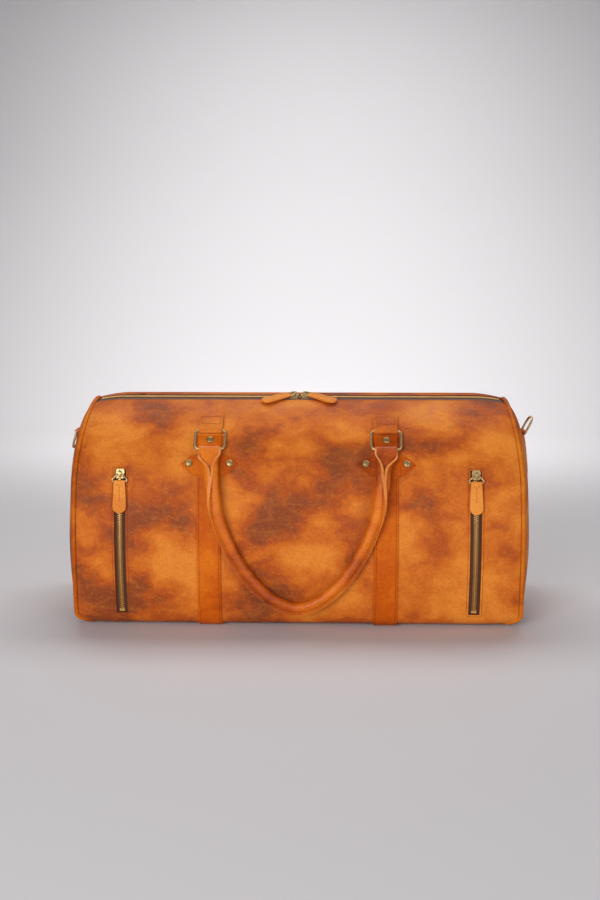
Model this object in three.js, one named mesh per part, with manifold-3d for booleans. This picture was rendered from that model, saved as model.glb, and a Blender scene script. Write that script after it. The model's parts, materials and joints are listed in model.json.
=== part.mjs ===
// A leather weekender duffel bag, in millimetres: X runs along the bag, -Y is its front, +Z is up.
// The origin is on the floor under the middle of the bag.
//
// The body is a wrap (front, base and back panels) closed by two bulging end panels. Everything that lies
// on the wrap is placed by stations: points of the wrap's cross-section, named by the angle of the outward
// normal, where -90 is the base, 0 the front wall, 90 the top and 180 the back wall.

import * as THREE from "three";
import { mergeVertices } from "three/addons/utils/BufferGeometryUtils.js";
import Module from "manifold-3d";

const wasm = await Module();
wasm.setup();

// ---------------------------------------------------------------- driving dimensions

const GAP = 0.3; // between pieces that touch
const LEATHER = 2.2; // thickness of one ply
const TAB_PLY = 2; // thinned leather, where a tab is folded round a bar

const BAG = {
  height: 278.5,
  depth: 256,
  baseLift: 2.5, // the straps run under the base and carry it
  seamReach: 276, // half length at the end seams, at mid height
  topPull: 11, // the seam is this much further in at the top
  basePull: 18, // and this much at the base
  endBulge: 293, // half length at the middle of the end panels
  bulgePower: 0.5,
  flatReach: 225, // the wrap is straight up to here, then rounds in to the seam
  endDrop: 8,
};

const PROFILE = {
  cornerRadius: 18,
  cornerAngle: 14,
  wallRadius: 330,
  wallAngle: 16,
  crownRadius: 76,
};

const MOUTH = { y: -10, halfGap: 13 };
const PIPING_RADIUS = 3;
const PIPING_INSET = 1.2;
const SEAM_ROOM = PIPING_RADIUS + 0.8; // the leather stops this far from the piping's middle
const BASE_SEAM_Y = 80;

const LINING = { inset: 6, thickness: 0.8, mouthLength: 480 };
const BOARD = { halfLength: 222, halfWidth: 92, thickness: 3 };

const STRAP = { x: 108.5, width: 29, topAngle: 41.3 };
const WING = { halfTip: 36, halfFlat: 21.4, low: 17.8, middle: 24.2, high: 29.4, thickness: 2 };
const RIVET = { head: 4.6, headHeight: 2, shank: 1.5, plate: 0.8, spread: 25, sideAngle: 24.5, midAngle: 38.4 };

const RING = { width: 40, height: 31, wire: 1.5, corner: 5, angle: 44, tabWidth: 29, tabTopAngle: 55.3, tabThickness: 4.2 };
const HANDLE = {
  radius: 6.5,
  fin: 4.2,
  finHalf: 1.5,
  halfSpan: 104.5,
  topHeight: 200,
  bottomHeight: 30.5,
  power: 1.75,
  overWing: 11, // it stands further off the wall at the wing patches
  loopWidth: 25,
  coreRadius: 4,
};

const POCKET = { x: 217.5, halfSlot: 7, low: -13.6, high: 21.2, sliderAngle: 18.6, bagHalf: 44 };
const ZIP = { chainHalf: 3.5, tape: 0.8, pocketTape: 0.6 };
const SLIDER = { length: 11.5, width: 10.4, pivotAlong: 0.6, pivotUp: 4.3 };
const PULL = { wire: 0.9, reach: 9.5, neck: 13.4, widest: 17.6, length: 39, thickness: 3.6, tilt: 5.3 };
const MAIN_PULL_YAW = 36;
const MAIN_PULL_DIP = 5;
const POCKET_PULL_DIP = 3.5;
const MAIN_SLIDER_X = 7;

const END_RING = { width: 34, height: 25, wire: 1.5, corner: 11, barHeight: 230, rightLean: 27, leftLean: 163 };
const END_TAB = { width: 24, low: 178, thickness: 4, stand: 0.5 };

// ---------------------------------------------------------------- materials

const finish = (color, roughness, metalness = 0) => new THREE.MeshStandardMaterial({ color, roughness, metalness });
const hide = finish(0xc4682a, 0.5);
const handleHide = finish(0xb85010, 0.42);
const paleHide = finish(0xdc8a42, 0.55);
const brass = finish(0xc9a566, 0.3, 1);
const agedBrass = finish(0x93804f, 0.4, 1);
const tapeCloth = finish(0x5a3018, 0.9);
const liningCloth = finish(0x3d2c20, 0.95);
const board = finish(0x2b2622, 0.8);
const cord = finish(0xcfc4ae, 0.9);

// ---------------------------------------------------------------- solids

const rad = THREE.MathUtils.degToRad;
const vec = (x, y, z) => new THREE.Vector3(x, y, z);
const steps = (from, to, count) => Array.from({ length: count + 1 }, (_, i) => from + ((to - from) * i) / count);

// A closed mesh from points and triangles, turned so that its faces point outwards.
function closedMesh(points, triangles) {
  let volume = 0;
  for (const [a, b, c] of triangles) {
    volume += points[a].dot(vec(0, 0, 0).crossVectors(points[b], points[c]));
  }
  const turned = volume < 0 ? triangles.map(([a, b, c]) => [a, c, b]) : triangles;
  return new THREE.BufferGeometry().setFromPoints(points).setIndex(turned.flat());
}

function toSolid(geometry) {
  const bare = (geometry.index ? geometry.toNonIndexed() : geometry.clone()).deleteAttribute("normal");
  bare.deleteAttribute("uv");
  const merged = mergeVertices(bare, 1e-4);
  return new wasm.Manifold(
    new wasm.Mesh({
      numProp: 3,
      vertProperties: merged.attributes.position.array,
      triVerts: new Uint32Array(merged.index.array),
    }),
  );
}

function toGeometry(solid) {
  const mesh = solid.getMesh();
  return new THREE.BufferGeometry()
    .setAttribute("position", new THREE.BufferAttribute(new Float32Array(mesh.vertProperties), 3))
    .setIndex(new THREE.BufferAttribute(new Uint32Array(mesh.triVerts), 1));
}

function combine(added, cut = []) {
  let whole = toSolid(added[0]);
  for (const geometry of added.slice(1)) whole = whole.add(toSolid(geometry));
  for (const geometry of cut) whole = whole.subtract(toSolid(geometry));
  return toGeometry(whole);
}

// A plate between two matching grids of points.
function plate(outer, inner) {
  const rows = outer.length;
  const columns = outer[0].length;
  const points = [...outer.flat(), ...inner.flat()];
  const under = rows * columns;
  const at = (r, c) => r * columns + c;
  const triangles = [];
  const quad = (a, b, c, d) => triangles.push([a, b, c], [a, c, d]);
  for (let r = 0; r + 1 < rows; r++) {
    for (let c = 0; c + 1 < columns; c++) {
      quad(at(r, c), at(r, c + 1), at(r + 1, c + 1), at(r + 1, c));
      quad(under + at(r, c), under + at(r + 1, c), under + at(r + 1, c + 1), under + at(r, c + 1));
    }
  }
  const edge = [];
  for (let c = 0; c < columns - 1; c++) edge.push(at(0, c));
  for (let r = 0; r < rows - 1; r++) edge.push(at(r, columns - 1));
  for (let c = columns - 1; c > 0; c--) edge.push(at(rows - 1, c));
  for (let r = rows - 1; r > 0; r--) edge.push(at(r, 0));
  edge.forEach((a, i) => {
    const b = edge[(i + 1) % edge.length];
    quad(a, under + a, under + b, b);
  });
  return closedMesh(points, triangles);
}

// A dished plate between two sets of rings, each set running from its rim to its centre point.
function disc(outerRings, outerCentre, innerRings, innerCentre) {
  const around = outerRings[0].length;
  const rings = outerRings.length;
  const points = [...outerRings.flat(), ...innerRings.flat(), outerCentre, innerCentre];
  const under = rings * around;
  const triangles = [];
  const quad = (a, b, c, d) => triangles.push([a, b, c], [a, c, d]);
  for (let i = 0; i < around; i++) {
    const j = (i + 1) % around;
    for (let r = 0; r + 1 < rings; r++) {
      const [a, b] = [r * around, (r + 1) * around];
      quad(a + i, a + j, b + j, b + i);
      quad(under + a + i, under + b + i, under + b + j, under + a + j);
    }
    const last = (rings - 1) * around;
    triangles.push([last + i, last + j, 2 * under]);
    triangles.push([under + last + j, under + last + i, 2 * under + 1]);
    quad(i, under + i, under + j, j);
  }
  return closedMesh(points, triangles);
}

// Sections joined one to the next, closed into a ring or capped at both ends.
function loft(sections, ring = false) {
  const sides = sections[0].length;
  const points = sections.flat();
  const triangles = [];
  const joins = ring ? sections.length : sections.length - 1;
  for (let s = 0; s < joins; s++) {
    const [a, b] = [s * sides, ((s + 1) % sections.length) * sides];
    for (let i = 0; i < sides; i++) {
      const j = (i + 1) % sides;
      triangles.push([a + i, a + j, b + j], [a + i, b + j, b + i]);
    }
  }
  if (!ring) {
    const last = (sections.length - 1) * sides;
    [[0, sections[0], false], [last, sections.at(-1), true]].forEach(([start, section, flip]) => {
      const middle = points.push(section.reduce((sum, p) => sum.add(p), vec(0, 0, 0)).divideScalar(sides)) - 1;
      for (let i = 0; i < sides; i++) {
        const j = (i + 1) % sides;
        triangles.push(flip ? [start + i, start + j, middle] : [start + j, start + i, middle]);
      }
    });
  }
  return closedMesh(points, triangles);
}

// A round wire through the points of a closed flat path.
function wireRing(path, radius, normal, sides = 6) {
  return loft(
    path.map((p, i) => {
      const ahead = path[(i + 1) % path.length];
      const behind = path[(i + path.length - 1) % path.length];
      const across = vec(0, 0, 0).subVectors(ahead, behind).cross(normal).normalize();
      return roundSection(p, across, normal, radius, sides);
    }),
    true,
  );
}

function roundSection(centre, u, v, radius, sides) {
  return Array.from({ length: sides }, (_, i) => {
    const turn = (2 * Math.PI * i) / sides;
    return centre
      .clone()
      .addScaledVector(u, radius * Math.cos(turn))
      .addScaledVector(v, radius * Math.sin(turn));
  });
}

// A rectangle with rounded corners in local x and y, as points, with its first side along y = 0.
function roundedRectangle(widthNear, widthFar, height, cornerNear, cornerFar, steps) {
  const corners = [
    [widthNear / 2 - cornerNear, cornerNear, cornerNear, -90],
    [widthFar / 2 - cornerFar, height - cornerFar, cornerFar, 0],
    [-widthFar / 2 + cornerFar, height - cornerFar, cornerFar, 90],
    [-widthNear / 2 + cornerNear, cornerNear, cornerNear, 180],
  ];
  return corners.flatMap(([x, y, r, from]) =>
    Array.from({ length: steps + 1 }, (_, i) => {
      const turn = rad(from + (90 * i) / steps);
      return [x + r * Math.cos(turn), y + r * Math.sin(turn)];
    }),
  );
}

function extruded(outline, depth) {
  const shape = new THREE.Shape(outline.map(([x, y]) => new THREE.Vector2(x, y)));
  const geometry = new THREE.ExtrudeGeometry(shape, { depth, bevelEnabled: false, curveSegments: 8 });
  return geometry.translate(0, 0, -depth / 2);
}

function rod(from, to, radius, sides = 8) {
  const along = vec(0, 0, 0).subVectors(to, from);
  const turn = new THREE.Quaternion().setFromUnitVectors(vec(0, 1, 0), along.clone().normalize());
  const geometry = new THREE.CylinderGeometry(radius, radius, along.length(), sides);
  return geometry.applyQuaternion(turn).translate(...from.clone().add(to).divideScalar(2).toArray());
}

// ---------------------------------------------------------------- the wrap's cross-section

const arcs = profileArcs();

function profileArcs() {
  const { cornerRadius: rc, cornerAngle: ac, wallRadius: rw, wallAngle: aw, crownRadius: rt } = PROFILE;
  const [sinC, cosC] = [Math.sin(rad(ac)), Math.cos(rad(ac))];
  const [sinW, cosW] = [Math.sin(rad(aw)), Math.cos(rad(aw))];
  const wallZ = BAG.baseLift + rc * (1 - sinC) + rw * sinC;
  const wallY = -BAG.depth / 2 + rw;
  const cornerY = wallY - (rw - rc) * cosC;
  const joinZ = wallZ + rw * sinW;
  const joinY = wallY - rw * cosW;
  // The front shoulder is one arc from the wall to the top.
  const frontRadius = (BAG.height - joinZ) / (1 - sinW);
  const topY = joinY + frontRadius * cosW;
  // The back shoulder meets a tighter crown arc, whose middle is under the top.
  const a = joinY + topY;
  const b = joinZ - (BAG.height - rt);
  const backRadius = (rt * rt - a * a - b * b) / (2 * (a * cosW - b * sinW) + 2 * rt);
  const backY = -(joinY + backRadius * cosW);
  const backZ = joinZ - backRadius * sinW;
  const join = THREE.MathUtils.radToDeg(Math.atan2(BAG.height - rt - backZ, topY - backY));
  return [
    { to: -ac, y: cornerY, z: BAG.baseLift + rc, r: rc },
    { to: aw, y: wallY, z: wallZ, r: rw },
    { to: 90, y: topY, z: BAG.height - frontRadius, r: frontRadius },
    { to: 180 - join, y: topY, z: BAG.height - rt, r: rt },
    { to: 180 - aw, y: backY, z: backZ, r: backRadius },
    { to: 180 + ac, y: -wallY, z: wallZ, r: rw },
    { to: 270, y: -cornerY, z: BAG.baseLift + rc, r: rc },
  ];
}

// How far the end seam reaches along X, where the normal's Z component is up.
function reachAt(up) {
  return BAG.seamReach - (up > 0 ? BAG.topPull * up ** 2 : BAG.basePull * up ** 4);
}

function onArcs(angle) {
  const arc = arcs.find((a) => angle <= a.to) ?? arcs.at(-1);
  const [ny, nz] = [-Math.cos(rad(angle)), Math.sin(rad(angle))];
  return { y: arc.y + arc.r * ny, z: arc.z + arc.r * nz, ny, nz, reach: reachAt(nz) };
}

// The wrap is faceted at these angles, and everything on it follows the same facets.
const facetAngles = [
  ...steps(-90, -PROFILE.cornerAngle, 4),
  ...steps(-PROFILE.cornerAngle, PROFILE.wallAngle, 8).slice(1),
  ...steps(PROFILE.wallAngle, 180 - PROFILE.wallAngle, 14).slice(1),
  ...steps(180 - PROFILE.wallAngle, 180 + PROFILE.cornerAngle, 3).slice(1),
  ...steps(180 + PROFILE.cornerAngle, 270, 4).slice(1),
];
const facetStations = facetAngles.map(onArcs).map(withRoom);

// Where the seam runs at a slant, the leather has to stop further from it to clear the piping.
function withRoom(s, i, all) {
  const slants = [all[i - 1], all[i + 1]]
    .filter((other) => other)
    .map((other) => (other.reach - s.reach) / Math.hypot(other.y - s.y, other.z - s.z));
  return { ...s, room: SEAM_ROOM * Math.hypot(1, ...slants) };
}

function station(angle) {
  const next = Math.max(1, facetAngles.findIndex((a) => angle <= a));
  const [from, to] = [facetAngles[next - 1], facetAngles[next]];
  const [a, b] = [facetStations[next - 1], facetStations[next]];
  const k = (angle - from) / (to - from);
  return Object.fromEntries(Object.keys(a).map((key) => [key, THREE.MathUtils.lerp(a[key], b[key], k)]));
}

// The stations from one angle to another, with every facet edge between them.
const stretch = (from, to) =>
  [from, ...facetAngles.filter((a) => a > from + 0.5 && a < to - 0.5), to].map(station);

const normalAt = (s) => vec(0, s.ny, s.nz).normalize();

const baseStation = (y) => ({ ...facetStations[0], y });

// The angle between two others at which a rising measure of the station reaches a value.
function angleWhere(measure, value, from, to) {
  let [low, high] = [from, to];
  for (let i = 0; i < 40; i++) {
    const middle = (low + high) / 2;
    if (measure(station(middle)) < value) low = middle;
    else high = middle;
  }
  return low;
}

const angleAtTopY = (y) => angleWhere((s) => s.y, y, 60, 110);

// The station of the front (side 1) or back (side -1) wall at a height.
const stationAtHeight = (z, side) =>
  station(
    side > 0
      ? angleWhere((s) => s.z, z, -PROFILE.cornerAngle, 85)
      : angleWhere((s) => -s.z, -z, 95, 180 + PROFILE.cornerAngle),
  );

// The wrap rounds in towards its ends.
function endInset(x) {
  const past = Math.max(0, Math.abs(x) - BAG.flatReach) / (BAG.seamReach - BAG.flatReach);
  return BAG.endDrop * past ** 2;
}

// A point at x on a station, inset from the leather's outer surface (a negative inset stands proud).
function onWrap(x, s, inset = 0) {
  const depth = inset + endInset(x);
  return vec(x, s.y - s.ny * depth, s.z - s.nz * depth);
}

const alongEnds = [-1, -0.985, -0.955, -0.91, -0.86, -0.81, 0.81, 0.86, 0.91, 0.955, 0.985, 1];

// A plate that follows the wrap, over a list of stations and a list of x positions for each station.
function wrapPlate(stations, xs, from, to) {
  const grid = (inset) => stations.map((s) => xs(s).map((x) => onWrap(x, s, inset)));
  return plate(grid(from), grid(to));
}

const fullLength = (extra) => (s) => alongEnds.map((f) => f * (s.reach - s.room - extra));
const strip = (x, half) => () => [x - half, x + half];

// ---------------------------------------------------------------- the ends

const baseEdge = Math.abs(facetStations[0].y);
const loop = [...facetStations, ...steps(baseEdge, -baseEdge, 5).slice(1, -1).map(baseStation)];
const endCentre = vec(0, 0, 128);
const endRimInset = PIPING_INSET + SEAM_ROOM;
const endRim = loop.slice(0, facetStations.length).map((s) => onWrap(s.reach, s, endRimInset));
const endTop = endRim.reduce((best, p, i) => (p.z > endRim[best].z ? i : best), 0);

// Where a rising run of the end panel's rim crosses a height.
function rimY(run, z) {
  const next = Math.max(1, run.findIndex((p) => p.z >= z));
  const [a, b] = [run[next - 1], run[next]];
  return THREE.MathUtils.lerp(a.y, b.y, THREE.MathUtils.clamp((z - a.z) / (b.z - a.z), 0, 1));
}

// How much of its full bulge an end panel has at a point: none at its rim and all of it in the middle.
function bulgeShare(y, z) {
  const [front, back] = [endRim.slice(0, endTop + 1), endRim.slice(endTop).toReversed()].map((run) => rimY(run, z));
  const [low, high] = [endRim[0].z, endRim[endTop].z];
  const across = THREE.MathUtils.clamp((2 * y - front - back) / Math.max(back - front, 1), -1, 1);
  const upward = THREE.MathUtils.clamp((2 * z - low - high) / (high - low), -1, 1);
  return ((1 - across ** 2) * (1 - upward ** 2)) ** BAG.bulgePower;
}

// Rings of points from the rim of an end panel to its centre, for one side of the bag.
function endRings(side, rimInset, back, shares) {
  return shares.map((share) =>
    loop.map((s) => {
      const p = endCentre.clone().lerp(onWrap(s.reach, s, rimInset), share);
      const reach = THREE.MathUtils.lerp(BAG.seamReach, s.reach, share);
      return p.setX(side * (reach + (BAG.endBulge - reach) * bulgeShare(p.y, p.z) - back));
    }),
  );
}

const ringShares = [1, 0.975, 0.92, 0.82, 0.62, 0.35];
const endMiddle = (side, back) => vec(side * (BAG.endBulge - back), endCentre.y, endCentre.z);

function endPanel(side) {
  return disc(
    endRings(side, endRimInset, 0, ringShares),
    endMiddle(side, 0),
    endRings(side, endRimInset, LEATHER, ringShares),
    endMiddle(side, LEATHER),
  );
}

// The end panel's outer surface on the middle plane, at a height above the panel's centre.
function endSurfaceX(z) {
  const share = (z - endCentre.z) / (endRim[endTop].z - endCentre.z);
  const reach = THREE.MathUtils.lerp(BAG.seamReach, reachAt(1), share);
  return reach + (BAG.endBulge - reach) * bulgeShare(0, z);
}

function piping(side) {
  const path = loop.map((s) => onWrap(s.reach, s, PIPING_INSET).setX(side * s.reach));
  return loft(
    path.map((p, i) => {
      const ahead = path[(i + 1) % path.length];
      const behind = path[(i + path.length - 1) % path.length];
      const along = vec(0, 0, 0).subVectors(ahead, behind).normalize();
      const across = vec(side, 0, 0).cross(along).normalize();
      return roundSection(p, across, vec(0, 0, 0).crossVectors(along, across), PIPING_RADIUS, 6);
    }),
    true,
  );
}

// The whole body as one closed solid, inset from the leather's outer surface.
function closedBody(inset) {
  const shares = [1, 0.9, 0.6];
  const rim = inset + PIPING_INSET;
  const left = endRings(-1, rim, inset, shares);
  const right = endRings(1, rim, inset, shares);
  const between = [-0.9, -0.81, 0.81, 0.9].map((f) => loop.map((s) => onWrap(f * s.reach, s, rim)));
  const rings = [...left.toReversed(), ...between, ...right];
  const around = loop.length;
  const points = [...rings.flat(), endMiddle(-1, inset), endMiddle(1, inset)];
  const triangles = [];
  for (let i = 0; i < around; i++) {
    const j = (i + 1) % around;
    for (let r = 0; r + 1 < rings.length; r++) {
      const [a, b] = [r * around, (r + 1) * around];
      triangles.push([a + i, a + j, b + j], [a + i, b + j, b + i]);
    }
    const last = (rings.length - 1) * around;
    triangles.push([j, i, points.length - 2], [last + i, last + j, points.length - 1]);
  }
  return closedMesh(points, triangles);
}

function lining() {
  const mouth = new THREE.BoxGeometry(LINING.mouthLength, 2 * MOUTH.halfGap - 6, 60);
  mouth.translate(0, MOUTH.y, BAG.height - 10);
  return combine([closedBody(LINING.inset)], [closedBody(LINING.inset + LINING.thickness), mouth]);
}

// ---------------------------------------------------------------- wrap panels

const mouthAngle = angleAtTopY(MOUTH.y);
const mouthFrontAngle = angleAtTopY(MOUTH.y - MOUTH.halfGap);
const mouthBackAngle = angleAtTopY(MOUTH.y + MOUTH.halfGap);

const anchors = [
  { name: "front_left", x: -STRAP.x, side: 1 },
  { name: "front_right", x: STRAP.x, side: 1 },
  { name: "back_left", x: -STRAP.x, side: -1 },
  { name: "back_right", x: STRAP.x, side: -1 },
];
const turned = (angle, side) => (side > 0 ? angle : 180 - angle);

// Where each anchor's three rivets go: their x and their angle.
const rivetPlaces = (anchor) => [
  [anchor.x - RIVET.spread, turned(RIVET.sideAngle, anchor.side)],
  [anchor.x + RIVET.spread, turned(RIVET.sideAngle, anchor.side)],
  [anchor.x, turned(RIVET.midAngle, anchor.side)],
];

const rivetHoles = (anchor, from, to) =>
  rivetPlaces(anchor).map(([x, angle]) =>
    rod(onWrap(x, station(angle), from), onWrap(x, station(angle), to), RIVET.shank + GAP),
  );

function frontPanel() {
  const stations = [baseStation(-BASE_SEAM_Y), ...stretch(-90, mouthFrontAngle)];
  const slots = [-1, 1].map((side) => pocketSlot(side));
  const holes = anchors.filter((a) => a.side > 0).flatMap((a) => rivetHoles(a, -3, LEATHER + 3));
  return combine([wrapPlate(stations, fullLength(0), 0, LEATHER)], [...slots, ...holes]);
}

function backPanel() {
  const stations = [...stretch(mouthBackAngle, 270), baseStation(BASE_SEAM_Y)];
  const holes = anchors.filter((a) => a.side < 0).flatMap((a) => rivetHoles(a, -3, LEATHER + 3));
  return combine([wrapPlate(stations, fullLength(0), 0, LEATHER)], holes);
}

function basePanel() {
  const edge = BASE_SEAM_Y - GAP;
  return wrapPlate([baseStation(-edge), baseStation(edge)], fullLength(0), 0, LEATHER);
}

function baseBoard() {
  const z = BAG.baseLift + LEATHER + GAP + BOARD.thickness / 2;
  const geometry = new THREE.BoxGeometry(2 * BOARD.halfLength, 2 * BOARD.halfWidth, BOARD.thickness);
  return geometry.translate(0, 0, z);
}

// ---------------------------------------------------------------- straps, wings and rivets

function strap(x) {
  const stations = [
    ...stretch(-90, STRAP.topAngle).toReversed(),
    ...stretch(180 - STRAP.topAngle, 270).toReversed(),
  ];
  const body = wrapPlate(stations, strip(x, STRAP.width / 2), -GAP - LEATHER, -GAP);
  const holes = [RIVET.midAngle, 180 - RIVET.midAngle].map((angle) =>
    rod(onWrap(x, station(angle), -6), onWrap(x, station(angle), 3), RIVET.shank + GAP),
  );
  return combine([body], holes);
}

// A patch with pointed ends that steps up over the strap.
function wing({ x, side }) {
  const rows = [
    [WING.low, WING.halfFlat],
    [(WING.low + WING.middle) / 2, (WING.halfFlat + WING.halfTip) / 2],
    [WING.middle, WING.halfTip],
    [(WING.high + WING.middle) / 2, (WING.halfFlat + WING.halfTip) / 2],
    [WING.high, WING.halfFlat],
  ];
  const over = STRAP.width / 2 + 1;
  const step = over + 1.5;
  const grid = (extra) =>
    rows.map(([angle, half]) => {
      const s = station(turned(angle, side));
      const high = GAP + LEATHER + GAP + extra;
      const low = GAP + extra;
      return [
        [-half, low],
        [-step, low],
        [-over, high],
        [over, high],
        [step, low],
        [half, low],
      ].map(([dx, out]) => onWrap(x + dx, s, -out));
    });
  const holes = rivetHoles({ x, side }, -8, 3).slice(0, 2);
  return combine([plate(grid(WING.thickness), grid(0))], holes);
}

// Three rivets on the stiffener that backs them inside the leather.
function rivets(anchor) {
  const inside = LEATHER + GAP;
  const ends = [RIVET.sideAngle - 3, RIVET.midAngle + 2.6].map((a) => turned(a, anchor.side));
  const rows = stretch(Math.min(...ends), Math.max(...ends));
  const backing = wrapPlate(rows, strip(anchor.x, RIVET.spread + 4), inside, inside + RIVET.plate);
  const pieces = rivetPlaces(anchor).map(([x, angle], i) => {
    const under = GAP + (i < 2 ? WING.thickness : LEATHER);
    return rivet(onWrap(x, station(angle), -under - GAP), normalAt(station(angle)), under + GAP + inside + 0.4);
  });
  return combine([backing, ...pieces]);
}

function rivet(seat, out, shankLength) {
  const { head, headHeight, shank } = RIVET;
  const profile = [
    [0, -shankLength],
    [shank, -shankLength],
    [shank, 0],
    [head, 0],
    [head * 0.86, headHeight * 0.62],
    [head * 0.5, headHeight * 0.92],
    [0, headHeight],
  ].map(([r, h]) => new THREE.Vector2(r, h));
  const geometry = new THREE.LatheGeometry(profile, 10);
  const turn = new THREE.Quaternion().setFromUnitVectors(vec(0, 1, 0), out);
  return geometry.applyQuaternion(turn).translate(...seat.toArray());
}

// ---------------------------------------------------------------- rings and their tabs

// The bar that each handle ring turns on, and the way the ring hangs from it.
function ringFrame({ x, side }) {
  const s = station(turned(RING.angle, side));
  const out = normalAt(s);
  const down = vec(0, -side * out.z, side * out.y);
  const bar = onWrap(x, s, -(GAP + RING.wire + GAP + TAB_PLY));
  return { bar, out, down, low: bar.clone().addScaledVector(down, RING.height - 2 * RING.wire) };
}

function handleRing(anchor) {
  const { bar, down, out } = ringFrame(anchor);
  const { width, height, wire, corner } = RING;
  const outline = roundedRectangle(width - 2 * wire, width - 2 * wire, height - 2 * wire, corner, corner, 3);
  const path = outline.map(([a, b]) => bar.clone().add(vec(a, 0, 0)).addScaledVector(down, b));
  return wireRing(path, wire, out, 8);
}

// A strip folded round a bar: two plies that follow a line of points, and the loop at their end.
function foldedTab(line, thickness, bar, across, width, barRadius) {
  const edge = (sign, out) =>
    line.map(([point, normal]) =>
      point
        .clone()
        .addScaledVector(normal, out)
        .addScaledVector(across, (sign * width) / 2),
    );
  const plies = plate([edge(-1, thickness), edge(1, thickness)], [edge(-1, 0), edge(1, 0)]);
  const end = (radius, half) =>
    rod(
      bar.clone().addScaledVector(across, -half),
      bar.clone().addScaledVector(across, half),
      radius,
      12,
    );
  return combine([plies, end(barRadius + GAP + TAB_PLY, width / 2)], [end(barRadius + GAP, width)]);
}

function ringTab(anchor) {
  const { bar } = ringFrame(anchor);
  const ends = [RING.angle, RING.tabTopAngle].map((a) => turned(a, anchor.side));
  const stations = stretch(Math.min(...ends), Math.max(...ends));
  const line = stations.map((s) => [onWrap(anchor.x, s, -GAP), normalAt(s)]);
  return foldedTab(line, RING.tabThickness, bar, vec(1, 0, 0), RING.tabWidth, RING.wire);
}

// ---------------------------------------------------------------- handles

// The middle of the rolled part, from the right ring down, across and up to the left ring.
function handlePath(side) {
  const right = ringFrame({ x: STRAP.x, side }).low;
  const left = ringFrame({ x: -STRAP.x, side }).low;
  const { halfSpan, topHeight, bottomHeight, power } = HANDLE;
  const drop = topHeight - bottomHeight;
  const turns = steps(0, Math.PI, 26);
  const roll = turns.map((t) => {
    const x = halfSpan * Math.sign(Math.cos(t)) * Math.abs(Math.cos(t)) ** (2 / power);
    const z = topHeight - drop * Math.abs(Math.sin(t)) ** (2 / power);
    return vec(x, handleY(z, side), z);
  });
  const ends = [0.12, 0.3, 0.55, 0.8];
  const between = (from, to) => ends.map((k) => from.clone().lerp(to, k));
  return {
    points: [right, ...between(right, roll[0]), ...roll, ...between(left, roll.at(-1)).toReversed(), left],
    flat: ends.length + 1,
  };
}

// The handle lies on the bulge of the wall and hangs straight below it.
function handleY(z, side) {
  const rest = arcs[1].z;
  const s = stationAtHeight(Math.max(z, rest), side);
  const k = THREE.MathUtils.smoothstep(z, rest, HANDLE.topHeight);
  const clear = HANDLE.radius + 0.6 + HANDLE.overWing * k;
  return s.y + (clear * s.ny) / Math.cos(Math.asin(s.nz)) ** 2;
}

function handleFrames(side) {
  const { points, flat } = handlePath(side);
  const front = vec(0, -side, 0);
  return points.map((p, i) => {
    const ahead = points[Math.min(i + 1, points.length - 1)];
    const behind = points[Math.max(i - 1, 0)];
    const along = vec(0, 0, 0).subVectors(ahead, behind).normalize();
    const outward = vec(0, 0, 0).crossVectors(along, front).multiplyScalar(side).normalize();
    const fromEnd = Math.min(i, points.length - 1 - i);
    return { p, along, outward, up: vec(0, 0, 0).crossVectors(outward, along), roll: Math.min(1, fromEnd / flat) };
  });
}

// The rolled leather: round with a stitched fin on its outer side, flat and wide where it meets the rings.
function handleCover(side) {
  const frames = handleFrames(side);
  const { radius, fin, finHalf, loopWidth } = HANDLE;
  const outer = outwardSign(frames);
  const sections = frames.map(({ p, outward, up, roll }) => {
    const wide = THREE.MathUtils.lerp(loopWidth / 2, radius, roll ** 1.5);
    const thick = roll < 1 ? THREE.MathUtils.lerp(2.6, radius, roll ** 2) : radius;
    const reach = radius + fin * THREE.MathUtils.smoothstep(roll, 0.9, 1);
    const tip = Math.max(wide, reach);
    const turns = steps(24, 336, 10).map(rad);
    const round = turns.map((t) => [wide * rounded(Math.cos(t), roll), thick * rounded(Math.sin(t), roll)]);
    const outline = [[tip, -finHalf], [tip, finHalf], ...round];
    return outline.map(([a, b]) => p.clone().addScaledVector(outward, outer * a).addScaledVector(up, b));
  });
  const rings = [-1, 1].map((end) => ringFrame({ x: end * STRAP.x, side }).low);
  const bars = (r, half, sides) => rings.map((c) => rod(c.clone().setX(c.x - half), c.clone().setX(c.x + half), r, sides));
  const cavity = roundRun(frames, 2, HANDLE.coreRadius + GAP);
  return combine(
    [loft(sections), ...bars(RING.wire + GAP + LEATHER, loopWidth / 2, 12)],
    [...bars(RING.wire + GAP, loopWidth, 12), cavity],
  );
}

// Squares off a sine or cosine where the section is flat.
const rounded = (value, roll) => Math.sign(value) * Math.abs(value) ** THREE.MathUtils.lerp(0.35, 1, roll);

// +1 if the frames' outward vectors already point away from the middle of the handle.
const outwardSign = (frames) => Math.sign(frames[Math.floor(frames.length / 2)].outward.z) * -1;

function roundRun(frames, from, radius) {
  const run = frames.slice(from, frames.length - from);
  return loft(run.map(({ p, outward, up }) => roundSection(p, outward, up, radius, 8)));
}

const handleCore = (side) => roundRun(handleFrames(side), 3, HANDLE.coreRadius);

// ---------------------------------------------------------------- zips

// A frame on the wrap for a zip slider: along is towards the pull, up is off the leather.
function sliderFrame(origin, along, up) {
  return new THREE.Matrix4()
    .makeBasis(along, vec(0, 0, 0).crossVectors(up, along), up)
    .setPosition(origin);
}

const CHAIN_TOP = -1; // the teeth reach this far above the leather's surface, as a negative inset
const CHAIN_BOTTOM = 2.1;

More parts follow.
